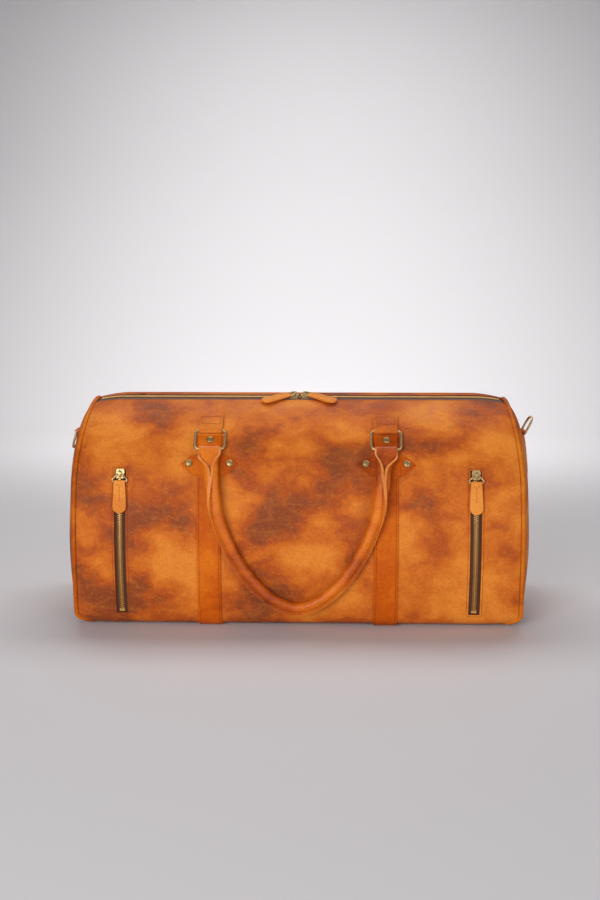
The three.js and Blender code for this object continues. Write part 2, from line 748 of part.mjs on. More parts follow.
// The slider's body straddles the teeth, and carries the bail that holds the pull.
function slider() {
  const { length, width } = SLIDER;
  const low = -1.9;
  const top = 2.6;
  const nose = length / 2;
  const plan = [
    [-nose, -width / 2 + 1.6],
    [-nose + 1.6, -width / 2],
    [nose - 4, -width / 2],
    [nose, -width / 2 + 0.6],
    [nose, width / 2 - 0.6],
    [nose - 4, width / 2],
    [-nose + 1.6, width / 2],
    [-nose, width / 2 - 1.6],
  ];
  const body = extruded(plan, top - low).translate(0, 0, (top + low) / 2);
  const channel = new THREE.BoxGeometry(3 * length, 2 * (ZIP.chainHalf + GAP), 6);
  channel.translate(0, 0, 1 + GAP - 3);
  return combine([body, bail()], [channel]);
}

function bail() {
  const { pivotAlong: s, pivotUp: h } = SLIDER;
  const arch = [
    [s - 4.6, 2.2],
    [s + 4.6, 2.2],
    [s + 3.8, h + 1.4],
    [s + 1.6, h + 2.4],
    [s - 1.6, h + 2.4],
    [s - 3.8, h + 1.4],
  ];
  const window = [
    [s - 2.5, h - 1.35],
    [s + 2.5, h - 1.35],
    [s + 2.5, h + 1.35],
    [s - 2.5, h + 1.35],
  ];
  const upright = (geometry) => geometry.rotateX(Math.PI / 2);
  return combine([upright(extruded(arch, 2.6))], [upright(extruded(window, 6))]);
}

// The wire link between the bail and the leather pull, hung from the pivot at the local origin.
function puller() {
  const { wire, reach, neck } = PULL;
  const outline = roundedRectangle(8, neck + 5, reach, 1, 2.2, 2);
  const path = outline.map(([a, b]) => vec(b, a, 0));
  return wireRing(path, wire, vec(0, 0, 1), 6);
}

function pullTab(tilt) {
  const { wire, reach, neck, widest, length, thickness } = PULL;
  const middle = length - widest / 2;
  const round = steps(-80, 80, 8).map((a) => [
    middle + (widest / 2) * Math.cos(rad(a)),
    (widest / 2) * Math.sin(rad(a)),
  ]);
  const outline = [[-2.2, -neck / 2], ...round, [-2.2, neck / 2]];
  const eye = rod(vec(0, -neck, 0), vec(0, neck, 0), wire + GAP);
  return combine([extruded(outline, thickness)], [eye]).rotateY(rad(tilt)).translate(reach, 0, 0);
}

const zipTape = (side) => {
  const inner = mouthAngle - side * THREE.MathUtils.radToDeg((ZIP.chainHalf + GAP) / arcs[2].r);
  const outer = side > 0 ? mouthFrontAngle - 5.2 : mouthBackAngle + 8;
  const stations = stretch(Math.min(outer, inner), Math.max(outer, inner));
  return wrapPlate(stations, fullLength(1), LEATHER + GAP, LEATHER + GAP + ZIP.tape);
};

const zipTeeth = (side) => {
  const inner = mouthAngle - side * THREE.MathUtils.radToDeg(0.15 / arcs[2].r);
  const outer = mouthAngle - side * THREE.MathUtils.radToDeg(ZIP.chainHalf / arcs[2].r);
  return wrapPlate([station(outer), station(inner)], fullLength(2), CHAIN_TOP + 1.5, 3.6);
};

// ---------------------------------------------------------------- front pockets

function pocketSlot(side) {
  const [low, high] = [station(POCKET.low), station(POCKET.high)];
  const slot = new THREE.BoxGeometry(2 * POCKET.halfSlot, 60, high.z - low.z);
  return slot.translate(side * POCKET.x, -BAG.depth / 2, (high.z + low.z) / 2);
}

const pocketStations = stretch(POCKET.low - 0.4, POCKET.high + 1.5);

const pocketTape = (side) =>
  wrapPlate(pocketStations, strip(side * POCKET.x, 13), LEATHER + GAP, LEATHER + GAP + ZIP.pocketTape);

function pocketTeeth(side) {
  return wrapPlate(stretch(POCKET.low + 0.3, POCKET.high - 0.2), strip(side * POCKET.x, 3), 0.2, CHAIN_BOTTOM + 0.1);
}

function pocketBag(side) {
  const inside = LEATHER + GAP + ZIP.pocketTape + GAP;
  const middle = side * (POCKET.x - 8);
  const bend = side * (BAG.flatReach + 3);
  const xs = [middle - POCKET.bagHalf, bend, middle + POCKET.bagHalf].sort((a, b) => a - b);
  return wrapPlate(pocketStations, () => xs, inside, inside + 1.8);
}

// ---------------------------------------------------------------- end rings

function endBar(side) {
  const { barHeight, wire } = END_RING;
  return vec(side * (endSurfaceX(barHeight) + END_TAB.stand + wire + GAP + TAB_PLY), 0, barHeight);
}

function endTab(side) {
  const heights = steps(END_RING.barHeight, END_TAB.low, 4);
  const line = heights.map((z) => {
    const x = endSurfaceX(z);
    const slope = (endSurfaceX(z + 0.5) - endSurfaceX(z - 0.5)) * -1;
    return [vec(side * (x + END_TAB.stand), 0, z), vec(side, 0, slope).normalize()];
  });
  return foldedTab(line, END_TAB.thickness, endBar(side), vec(0, 1, 0), END_TAB.width, END_RING.wire);
}

// The right ring stands up and out of its stiff tab. The left one hangs down over its tab.
function endRing(side, angle) {
  const bar = endBar(side);
  const along = vec(side * Math.sin(rad(angle)), 0, Math.cos(rad(angle)));
  const { width, height, wire, corner } = END_RING;
  const outline = roundedRectangle(width - 2 * wire, width - 2 * wire, height - 2 * wire, 2, corner, 4);
  const path = outline.map(([a, b]) => bar.clone().add(vec(0, a, 0)).addScaledVector(along, b));
  return wireRing(path, wire, vec(0, 1, 0).cross(along).normalize(), 8);
}

// ---------------------------------------------------------------- the bag

const bag = new THREE.Group();
bag.name = "duffel_bag";
bag.userData.pivots = {};

function add(name, geometry, material, parent = bag) {
  const mesh = new THREE.Mesh(geometry, material);
  mesh.name = name;
  parent.add(mesh);
  return mesh;
}

function addShell() {
  add("front_panel", frontPanel(), hide);
  add("back_panel", backPanel(), hide);
  add("base_panel", basePanel(), hide);
  for (const [name, side] of [["left", -1], ["right", 1]]) {
    add(`${name}_end_panel`, endPanel(side), hide);
    add(`${name}_piping`, piping(side), paleHide);
    add(`${name}_end_tab`, endTab(side), hide);
    add(`${name}_strap`, strap(side * STRAP.x), hide);
  }
  add("lining", lining(), liningCloth);
  add("base_board", baseBoard(), board);
}

function addHandles() {
  for (const anchor of anchors) {
    add(`${anchor.name}_wing`, wing(anchor), hide);
    add(`${anchor.name}_rivets`, rivets(anchor), agedBrass);
    add(`${anchor.name}_ring_tab`, ringTab(anchor), hide);
    add(`${anchor.name}_ring`, handleRing(anchor), brass);
    const { bar, low } = ringFrame(anchor);
    bag.userData.pivots[`${anchor.name}_ring`] = bar.toArray();
    bag.userData.pivots[`${anchor.name}_ring_low`] = low.toArray();
  }
  for (const [name, side] of [["front", 1], ["back", -1]]) {
    add(`${name}_handle`, handleCover(side), handleHide);
    add(`${name}_handle_core`, handleCore(side), cord);
  }
}

// One slider with its link and leather pull, in a group that stands on the wrap.
function addSlider(name, frame, yaw, tilt, dip) {
  const group = new THREE.Group();
  group.applyMatrix4(frame);
  bag.add(group);
  add(`${name}_slider`, slider(), brass, group);
  const hung = new THREE.Group();
  hung.position.set(SLIDER.pivotAlong, 0, SLIDER.pivotUp);
  hung.rotation.set(0, rad(dip), rad(yaw), "ZYX");
  group.add(hung);
  add(`${name}_puller`, puller(), brass, hung);
  add(`${name}_pull_tab`, pullTab(tilt), paleHide, hung);
  group.updateMatrixWorld(true);
  const pivot = vec(0, 0, 0).applyMatrix4(hung.matrixWorld);
  const axis = vec(0, 1, 0).transformDirection(hung.matrixWorld);
  bag.userData.pivots[`${name}_pull`] = [...pivot.toArray(), ...axis.toArray()];
}

function addZips() {
  add("front_zip_tape", zipTape(1), tapeCloth);
  add("back_zip_tape", zipTape(-1), tapeCloth);
  add("front_zip_teeth", zipTeeth(1), agedBrass);
  add("back_zip_teeth", zipTeeth(-1), agedBrass);
  const top = station(mouthAngle);
  for (const [name, side] of [["left", -1], ["right", 1]]) {
    const frame = sliderFrame(onWrap(side * MAIN_SLIDER_X, top, 0), vec(side, 0, 0), normalAt(top));
    addSlider(`main_${name}`, frame, -side * MAIN_PULL_YAW, 0, MAIN_PULL_DIP);
    add(`pocket_${name}_tape`, pocketTape(side), tapeCloth);
    add(`pocket_${name}_teeth`, pocketTeeth(side), agedBrass);
    add(`pocket_${name}_bag`, pocketBag(side), liningCloth);
    const s = station(POCKET.sliderAngle);
    const out = normalAt(s);
    const pocketFrame = sliderFrame(onWrap(side * POCKET.x, s, 0), vec(0, -out.z, out.y), out);
    addSlider(`pocket_${name}`, pocketFrame, 0, PULL.tilt, POCKET_PULL_DIP);
  }
}

function addEndRings() {
  add("right_end_ring", endRing(1, END_RING.rightLean), brass);
  add("left_end_ring", endRing(-1, END_RING.leftLean), brass);
  bag.userData.pivots.right_end_ring = endBar(1).toArray();
  bag.userData.pivots.left_end_ring = endBar(-1).toArray();
}

addShell();
addHandles();
addZips();
addEndRings();
bag.userData.pivots.pocket_arc = [0, arcs[1].y, arcs[1].z];

export default bag;
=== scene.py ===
"""The looks of a leather weekender duffel bag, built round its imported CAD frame.

Lengths are in metres: X runs along the bag, -Y is its front, +Z is up. The leather body is laid out by its
cross-section: s is the distance along it, which starts at the foot of the front wall, goes up over the top
and ends at the foot of the back wall. s below zero is the base.
"""

import json
import math
import random

import bpy
import numpy as np
from mathutils import Matrix, Vector


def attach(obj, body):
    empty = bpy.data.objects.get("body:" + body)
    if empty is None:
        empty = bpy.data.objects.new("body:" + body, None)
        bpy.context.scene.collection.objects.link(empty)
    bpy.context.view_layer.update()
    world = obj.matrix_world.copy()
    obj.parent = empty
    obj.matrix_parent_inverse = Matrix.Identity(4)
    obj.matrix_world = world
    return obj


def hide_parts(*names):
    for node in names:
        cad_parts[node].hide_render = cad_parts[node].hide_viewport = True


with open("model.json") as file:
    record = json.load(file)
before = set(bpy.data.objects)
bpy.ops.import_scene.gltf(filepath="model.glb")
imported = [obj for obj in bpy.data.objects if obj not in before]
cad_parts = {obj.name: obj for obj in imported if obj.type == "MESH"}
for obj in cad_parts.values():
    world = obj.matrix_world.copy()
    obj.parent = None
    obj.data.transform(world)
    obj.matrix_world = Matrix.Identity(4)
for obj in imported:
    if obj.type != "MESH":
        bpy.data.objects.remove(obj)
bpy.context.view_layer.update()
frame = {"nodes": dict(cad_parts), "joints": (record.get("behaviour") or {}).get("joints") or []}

MM = 0.001
ROOT = "bag"
SEED = 7

# ---------------------------------------------------------------- dimensions, in millimetres

GAP = 0.3
LEATHER = 2.2
HEIGHT, DEPTH, BASE_LIFT = 278.5, 256, 2.5
SEAM_REACH, TOP_PULL, BASE_PULL = 276, 11, 18
FLAT_REACH, END_DROP, END_BULGE = 225, 8, 293
CORNER_R, WALL_R, CROWN_R = 18, 330, 76
CORNER_ANGLE, WALL_ANGLE = 14, 16
BACK_LIP = 1.8
PIPING_R, PIPING_INSET = 3, 1.2
SEAM_ROOM = 3.2
END_RIM_INSET = 5
END_FILL = 4
END_CENTRE_Z = 128
BASE_SEAM_Y = 80
MOUTH_Y, MOUTH_HALF = -10, 13
STRAP_X, STRAP_W, STRAP_TOP = 108.5, 29, 41.3
RIVET_SPREAD, RIVET_SIDE, RIVET_MID = 25, 24.5, 38.4
RING_W, RING_H, RING_WIRE, RING_CORNER, RING_ANGLE = 40, 31, 1.5, 5, 44
TAB_TOP, TAB_W = 55.3, 29
POCKET_X, POCKET_HALF, POCKET_LOW, POCKET_HIGH, POCKET_SLIDER = 217.5, 7, -13.6, 21.2, 18.6
PULL_NECK, PULL_WIDE, PULL_LONG, PULL_THICK, PULL_TILT, PULL_REACH = 13.4, 17.6, 39, 3.6, 5.3, 9.5
PIVOT_ALONG, PIVOT_UP = 0.6, 4.3
MAIN_SLIDER_X, MAIN_YAW, MAIN_DIP, POCKET_DIP = 7, 36, 5, 3.5
END_BAR_Z, END_TAB_LOW, END_TAB_W = 230, 178, 24
END_RING_W, END_RING_H, END_RING_CORNER = 34, 25, 11

END_RING_RIGHT_LEAN, END_RING_LEFT_LEAN = 27, 163
TAB_PLY, END_TAB_PLY, PLY_GAP = 2.0, 1.9, 0.1
RIVET_CAP_R, RIVET_CAP_HEIGHT = 4.6, 2.0
POCKET_TAPE, LINK_WIRE = 0.6, 0.9
SEWN_IN, SHORT_STITCH, LONG_STITCH = 2.6, 3.0, 3.6

# the leather's slack: its size, its limits, and how far round pockets and anchors it stays taut
SLACK, SLACK_INWARD, SLACK_LIMITS = 1.5, 0.7, (-2.6, 0.5)
POCKET_TAUT, ANCHOR_TAUT_X, ANCHOR_TAUT_S = 22, 42, 62
# where the slack fades: towards the end seams, near the zip's mouth, above the pockets, and at the feet
ENDS_FADE, MOUTH_FADE, POCKET_FADE, FEET_FADE = (222, 262), (MOUTH_HALF + 1, 70), (60, 110), (-5, 45)
LIP_RISE, LIP_FALL = (-3, 12), (25, 70)
FOOT_DROP = 0.25

# ---------------------------------------------------------------- how meshes are made

SURFACE, CUT = 0, 1  # a face's material: the leather's face, or its cut edge
SHARP_ANGLE = 40
WRAP_COLUMNS, ROW_PITCH = 150, 3.4
SIDES = (("left", -1), ("right", 1))

rad = math.radians


# ---------------------------------------------------------------- the cross-section


def arc_list():
    """(last angle, centre y, centre z, radius) of each arc, from the front foot to the back foot."""
    sin_c, cos_c = math.sin(rad(CORNER_ANGLE)), math.cos(rad(CORNER_ANGLE))
    sin_w, cos_w = math.sin(rad(WALL_ANGLE)), math.cos(rad(WALL_ANGLE))
    wall_z = BASE_LIFT + CORNER_R * (1 - sin_c) + WALL_R * sin_c
    wall_y = -DEPTH / 2 + WALL_R
    corner_y = wall_y - (WALL_R - CORNER_R) * cos_c
    join_z, join_y = wall_z + WALL_R * sin_w, wall_y - WALL_R * cos_w
    front_r = (HEIGHT - join_z) / (1 - sin_w)
    top_y = join_y + front_r * cos_w
    across, above = -(join_y + top_y), join_z - (HEIGHT - CROWN_R)
    back_r = (across**2 + above**2 - CROWN_R**2) / (2 * (across * cos_w + above * sin_w - CROWN_R))
    back_y, back_z = -(join_y + back_r * cos_w), join_z - back_r * sin_w
    join = math.degrees(math.atan2(HEIGHT - CROWN_R - back_z, top_y - back_y))
    return [
        (-CORNER_ANGLE, corner_y, BASE_LIFT + CORNER_R, CORNER_R),
        (WALL_ANGLE, wall_y, wall_z, WALL_R),
        (90, top_y, HEIGHT - front_r, front_r),
        (180 - join, top_y, HEIGHT - CROWN_R, CROWN_R),
        (180 - WALL_ANGLE, back_y, back_z, back_r),
        (180 + CORNER_ANGLE, -wall_y, wall_z, WALL_R),
        (271, -corner_y, BASE_LIFT + CORNER_R, CORNER_R),
    ]


def profile_table():
    """s, then (angle, y, z, normal y, normal z) for each s, and half the width of the flat base."""
    arcs = arc_list()
    rows = []
    for angle in np.arange(-90, 270.01, 0.25):
        _, y, z, r = next(arc for arc in arcs if angle <= arc[0] + 1e-9)
        ny, nz = -math.cos(rad(angle)), math.sin(rad(angle))
        rows.append((angle, y + r * ny, z + r * nz, ny, nz))
    table = np.array(rows)
    lengths = np.hypot(np.diff(table[:, 1]), np.diff(table[:, 2]))
    s = np.concatenate([[0], np.cumsum(lengths)])
    edge = -table[0, 1]
    base = np.array([[-90, edge, BASE_LIFT, 0, -1]])
    far = np.array([[270, -edge, BASE_LIFT, 0, -1]])
    return np.concatenate([[-2 * edge], s, [s[-1] + 2 * edge]]), np.concatenate([base, table, far]), edge


S, TABLE, BASE_EDGE = profile_table()
ANGLES, SECTION_Y, SECTION_Z, SECTION_NY, SECTION_NZ = TABLE.T
S_END = S[-2]


def s_at(angle):
    """s of the place where the wall leans by an angle: 0 is upright at the front, 90 is the top."""
    return np.interp(angle, ANGLES[1:-1], S[1:-1])


def at_side(angle, side):
    """An angle of the front wall, or the same place on the back wall."""
    return angle if side > 0 else 180 - angle


def s_at_top(y):
    """s of a point on the top of the bag, by its y."""
    top = (ANGLES > 60) & (ANGLES < 115)
    return float(np.interp(y, SECTION_Y[top], S[top]))


S_MOUTH = s_at_top(MOUTH_Y)
S_MOUTH_FRONT = s_at_top(MOUTH_Y - MOUTH_HALF)
S_MOUTH_BACK = s_at_top(MOUTH_Y + MOUTH_HALF)


def smooth(value, low, high):
    """0 below low, 1 above high, and a smooth rise between."""
    t = np.clip((value - low) / (high - low), 0, 1)
    return t * t * (3 - 2 * t)


def section_normal(s):
    """The y and z of the outward direction at s."""
    ny, nz = np.interp(s, S, SECTION_NY), np.interp(s, S, SECTION_NZ)
    length = np.hypot(ny, nz)
    return ny / length, nz / length


def reach_at(s):
    """How far from the middle the end seam is."""
    _, nz = section_normal(s)
    return SEAM_REACH - np.where(nz > 0, TOP_PULL * nz**2, BASE_PULL * nz**4)


def seam_room(s):
    """The leather stops this far from the seam, and further where the seam runs at a slant."""
    slope = (reach_at(s + 3) - reach_at(s - 3)) / 6
    return SEAM_ROOM * np.hypot(1, slope)


ANCHOR_S = float(s_at(RING_ANGLE - 6))


def wave_field(count, shortest, longest, seed):
    """Seeded waves in two directions: (frequency along u, along v, phase, size) of each."""
    draw = random.Random(seed)
    waves = []
    for _ in range(count):
        length = math.exp(draw.uniform(math.log(shortest), math.log(longest)))
        turn = draw.uniform(0, math.pi)
        k = 2 * math.pi / length
        phase = draw.uniform(0, 6.3)
        waves.append((k * math.cos(turn), k * math.sin(turn), phase, (length / longest) ** 0.9))
    return waves


BODY_WAVES = wave_field(count=16, shortest=55, longest=260, seed=SEED)
END_WAVES = wave_field(count=12, shortest=50, longest=200, seed=SEED + 1)


def wave_sum(waves, u, v):
    """The height of all the waves together, scaled to stay near 1."""
    total = 0
    for ku, kv, phase, size in waves:
        total = total + size * np.sin(ku * u + kv * v + phase)
    return total / math.sqrt(len(waves))


def slouch(x, s):
    """How far the soft leather stands off its nominal shape: mostly inwards, and 0 at seams and zips."""
    from_foot = np.minimum(s, S_END - s)
    ends = 1 - smooth(np.abs(x), *ENDS_FADE)
    mouth = smooth(np.abs(s - S_MOUTH), *MOUTH_FADE)
    beside_pocket = np.exp(-(((np.abs(x) - POCKET_X) / POCKET_TAUT) ** 4))
    at_pocket = beside_pocket * smooth(S_MOUTH_FRONT - s, *POCKET_FADE)
    beside, above = (np.abs(x) - STRAP_X) / ANCHOR_TAUT_X, (from_foot - ANCHOR_S) / ANCHOR_TAUT_S
    feet = smooth(s, *FEET_FADE) * smooth(S_END - s, *FEET_FADE)
    free = ends * mouth * (1 - at_pocket) * feet * (1 - np.exp(-(beside**4) - above**4))
    soft = np.clip(SLACK * wave_sum(BODY_WAVES, x, s) - SLACK_INWARD, *SLACK_LIMITS)
    past_mouth = s - S_MOUTH_BACK
    lip = BACK_LIP * smooth(past_mouth, *LIP_RISE) * (1 - smooth(past_mouth, *LIP_FALL))
    return soft * free + lip * ends


def on_wrap(x, s, out=0.0):
    """Points in millimetres at x, at s along the section, standing out from the leather's surface."""
    x, s, out = np.broadcast_arrays(np.asarray(x, float), np.asarray(s, float), np.asarray(out, float))
    ny, nz = section_normal(s)
    past = np.clip(np.abs(x) - FLAT_REACH, 0, None) / (SEAM_REACH - FLAT_REACH)
    up_wall = smooth(np.minimum(s, S_END - s), -10, 90)
    depth = END_DROP * past**2 * (FOOT_DROP + (1 - FOOT_DROP) * up_wall) - out - slouch(x, s)
    y, z = np.interp(s, S, SECTION_Y), np.interp(s, S, SECTION_Z)
    return np.stack([x, y - ny * depth, z - nz * depth], -1)


def wrap_out(s):
    """The outward direction of the wrap."""
    ny, nz = section_normal(s)
    return np.stack([np.zeros_like(ny), ny, nz], -1)


def round_the_section(base_points, pitch):
    """s all the way round a seam: across the base and then up, over and down the wall."""
    return np.concatenate([np.linspace(-2 * BASE_EDGE, 0, base_points)[1:-1], wrap_rows(0, S_END, pitch)])


# ---------------------------------------------------------------- meshes


class Mesh:
    """Points, faces and a material number for each face, gathered into one object."""

    def __init__(self):
        self.points, self.faces, self.kinds, self.count = [], [], [], 0

    def add_points(self, points):
        """Adds points and gives the number of the first."""
        start = self.count
        self.points.append(np.asarray(points, float).reshape(-1, 3))
        self.count += len(self.points[-1])
        return start

    def add_faces(self, faces, kind=SURFACE):
        self.faces += faces.tolist()
        self.kinds += [kind] * len(faces)

    def build(self, name, body, materials, replaces=()):
        mesh = bpy.data.meshes.new(name)
        mesh.from_pydata((np.concatenate(self.points) * MM).tolist(), [], self.faces)
        for material in materials:
            mesh.materials.append(material)
        mesh.polygons.foreach_set("material_index", self.kinds)
        mesh.polygons.foreach_set("use_smooth", [True] * len(mesh.polygons))
        mesh.set_sharp_from_angle(angle=rad(SHARP_ANGLE))
        mesh.update()
        obj = bpy.data.objects.new(name, mesh)
        bpy.context.scene.collection.objects.link(obj)
        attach(obj, body)
        if replaces:
            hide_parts(*replaces)


def grid_faces(rows, columns, keep=None, flip=False):
    """The four-sided faces of a grid of points, of which keep picks the cells."""
    r, c = np.meshgrid(np.arange(rows - 1), np.arange(columns - 1), indexing="ij")
    if keep is not None:
        r, c = r[keep], c[keep]
    a = (r * columns + c).ravel()
    quads = np.stack([a, a + 1, a + columns + 1, a + columns], -1)
    return quads[:, ::-1] if flip else quads


def shell(mesh, outer, inner, keep=None):
    """A plate between two grids of points. Cells that keep leaves out are windows with a rim."""
    rows, columns = outer.shape[:2]
    r, c = rows // 2, columns // 2
    along, down = outer[r, c] - outer[r, c - 1], outer[r, c] - outer[r - 1, c]
    flip = bool(np.dot(np.cross(along, down), outer[r, c] - inner[r, c]) < 0)
    start = mesh.add_points(np.concatenate([outer.reshape(-1, 3), inner.reshape(-1, 3)]))
    under = rows * columns
    skin = grid_faces(rows, columns, keep, flip)
    edges = [(v, face[(i + 1) % 4]) for face in skin.tolist() for i, v in enumerate(face)]
    shared = set(edges)
    rim = [(b, a, a + under, b + under) for a, b in edges if (b, a) not in shared]
    mesh.add_faces(skin + start)
    mesh.add_faces(grid_faces(rows, columns, keep, not flip) + start + under)
    mesh.add_faces(np.array(rim) + start, CUT)


def tube(mesh, sections, closed=False):
    """Sections of equal size, joined one to the next, and capped at both ends unless closed."""
    sections = np.asarray(sections, float)
    count, sides = sections.shape[:2]
    row, i = np.meshgrid(np.arange(count if closed else count - 1), np.arange(sides), indexing="ij")
    here, ahead = row * sides, ((row + 1) % count) * sides
    j = (i + 1) % sides
    start = mesh.add_points(sections)
    mesh.add_faces(np.stack([here + i, here + j, ahead + j, ahead + i], -1).reshape(-1, 4) + start)
    if not closed:
        first = np.arange(sides)
        mesh.add_faces(np.array([first[::-1], first + (count - 1) * sides]) + start)


def circle(count):
    """Angles evenly round a circle."""
    return np.arange(count) * 2 * math.pi / count


def unit(v):
    v = np.asarray(v, float)
    return v / np.linalg.norm(v, axis=-1, keepdims=True)


def wire_path(mesh, path, normal, radius, sides):
    """A round wire along a closed flat path."""
    along = unit(np.roll(path, -1, 0) - np.roll(path, 1, 0))
    across = unit(np.cross(along, normal))
    turns = circle(sides)[:, None, None]
    ring = np.cos(turns) * across + np.sin(turns) * normal
    tube(mesh, (path + radius * ring).transpose(1, 0, 2), closed=True)


def rounded_outline(near, far, height, corner_near, corner_far, steps):
    """A flat outline with rounded corners, near wide at its foot and far wide at its head."""
    corners = [
        (near / 2 - corner_near, corner_near, corner_near, -90),
        (far / 2 - corner_far, height - corner_far, corner_far, 0),
        (-far / 2 + corner_far, height - corner_far, corner_far, 90),
        (-near / 2 + corner_near, corner_near, corner_near, 180),
    ]
    points = []
    for x, y, r, start in corners:
        for i in range(steps + 1):
            turn = rad(start + 90 * i / steps)
            points.append((x + r * math.cos(turn), y + r * math.sin(turn)))
    return np.array(points)


def run_along(path):
    """The distance along a polyline at each of its points."""
    return np.concatenate([[0], np.cumsum(np.linalg.norm(np.diff(path, axis=0), axis=1))])


def points_at(at, run, path):
    """The polyline's points at given distances along it."""
    return np.stack([np.interp(at, run, path[:, k]) for k in range(3)], -1)


def ribbon(mesh, inside, outside, across, widths, shares, drops):
    """A flat strip between two lines, widths wide, whose long edges are rounded over by drops."""
    outward = unit(outside - inside)[:, None]
    offset = across * (np.reshape(widths, (-1, 1)) * shares)[..., None]
    shell(mesh, outside[:, None] + offset - outward * drops[:, None], inside[:, None] + offset)


STITCH_PITCH, STITCH_LONG, STITCH_R = 3.3, 2.5, 0.36
STITCH_LOOK = 0.3
STITCH_HALF = [(0.4, 0.28, 1.0), (0.8, 0.05, 0.85), (1.0, -0.5, 0.45)]
STITCH_SECTIONS = [(-share, lift, thick) for share, lift, thick in STITCH_HALF[::-1]] + STITCH_HALF


def stitch(mesh, line, normals, pitch=STITCH_PITCH, radius=STITCH_R):
    """Saddle stitches along a line on the leather: each one dips into its holes at both ends."""
    line = np.asarray(line, float)
    run = run_along(line)
    count = max(2, int(run[-1] / pitch))
    at = (np.arange(count) + 0.5) * run[-1] / count
    along = unit(points_at(at + STITCH_LOOK, run, line) - points_at(at - STITCH_LOOK, run, line))
    up = unit(points_at(at, run, np.asarray(normals, float)))
    half = STITCH_LONG / 2 * pitch / STITCH_PITCH
    for p, t, u, a in zip(points_at(at, run, line), along, up, unit(np.cross(along, up))):
        rings = []
        for share, lift, thick in STITCH_SECTIONS:
            middle = p + t * half * share + u * radius * lift
            side, top = a * radius * thick, u * radius * thick * 0.8
            rings.append([middle + side * math.cos(w) + top * math.sin(w) for w in circle(6)])
        tube(mesh, rings)


def stitch_on_wrap(mesh, x, s, out, pitch=STITCH_PITCH):
    """Stitches along a line that lies on the wrap."""
    x, s, out = np.broadcast_arrays(x, s, out)
    stitch(mesh, on_wrap(x, s, out), wrap_out(s), pitch)


# ---------------------------------------------------------------- materials


class Nodes:
    """A small helper for node materials. Scales are for object coordinates in metres."""

    def __init__(self, name):
        self.material = bpy.data.materials.new(name)
        self.material.use_nodes = True
        self.tree = self.material.node_tree
        self.shader = self.tree.nodes["Principled BSDF"]
        self.coordinates = self.node("ShaderNodeTexCoord").outputs["Object"]

    def node(self, kind, **values):
        made = self.tree.nodes.new(kind)
        for key, value in values.items():
            setattr(made, key, value)
        return made

    def link(self, source, target):
        if isinstance(source, (int, float)):
            target.default_value = source
        elif isinstance(source, tuple):
            target.default_value = (*source, 1)
        else:
            self.tree.links.new(source, target)

    def mapped(self, scale):
        made = self.node("ShaderNodeMapping")
        made.inputs["Scale"].default_value = scale
        self.link(self.coordinates, made.inputs["Vector"])
        return made.outputs["Vector"]

    def noise(self, scale, detail=3.0, roughness=0.55, distortion=0.0, vector=None):
        made = self.node("ShaderNodeTexNoise")
        made.inputs["Scale"].default_value = scale
        made.inputs["Detail"].default_value = detail
        made.inputs["Roughness"].default_value = roughness
        made.inputs["Distortion"].default_value = distortion
        self.link(vector or self.coordinates, made.inputs["Vector"])
        return made.outputs["Fac"]

    def cell_edges(self, scale, vector=None):
        made = self.node("ShaderNodeTexVoronoi", feature="DISTANCE_TO_EDGE")
        made.inputs["Scale"].default_value = scale
        self.link(vector or self.coordinates, made.inputs["Vector"])
        return made.outputs["Distance"]

    def spread(self, source, low, high, to_low=0.0, to_high=1.0):
        """to_low below low, to_high above high, and a smooth change between."""
        made = self.node("ShaderNodeMapRange", interpolation_type="SMOOTHSTEP")
        for key, value in (("From Min", low), ("From Max", high), ("To Min", to_low), ("To Max", to_high)):
            made.inputs[key].default_value = value
        self.link(source, made.inputs["Value"])
        return made.outputs["Result"]

    def math(self, operation, a, b):
        made = self.node("ShaderNodeMath", operation=operation)
        self.link(a, made.inputs[0])
        self.link(b, made.inputs[1])
        return made.outputs["Value"]

    def mix(self, factor, a, b, blend="MIX"):
        made = self.node("ShaderNodeMix", data_type="RGBA", blend_type=blend)
        self.link(factor, made.inputs["Factor"])
        self.link(a, made.inputs["A"])
        self.link(b, made.inputs["B"])
        return made.outputs["Result"]

    def ramp(self, source, *stops):
        made = self.node("ShaderNodeValToRGB")
        made.color_ramp.interpolation = "EASE"
        elements = made.color_ramp.elements
        while len(elements) < len(stops):
            elements.new(0.5)
        for element, (position, color) in zip(elements, stops):
            element.position = position
            element.color = (*color, 1)
        self.link(source, made.inputs["Fac"])
        return made.outputs["Color"]

    def bump(self, *layers):
        """Layers of (height, distance in millimetres)."""
        normal = None
        for height, distance in layers:
            made = self.node("ShaderNodeBump")
            made.inputs["Distance"].default_value = distance * MM
            self.link(height, made.inputs["Height"])
            if normal:
                self.link(normal, made.inputs["Normal"])
            normal = made.outputs["Normal"]
        self.link(normal, self.shader.inputs["Normal"])

    def finish(self, **values):
        for key, value in values.items():
            self.link(value, self.shader.inputs[key.replace("_", " ")])
        return self.material


def srgb(r, g, b):
    """A colour given as 0 to 255 on a screen, as the linear colour that the shader takes."""
    return tuple(((c / 255 + 0.055) / 1.055) ** 2.4 if c > 10 else c / 255 / 12.92 for c in (r, g, b))


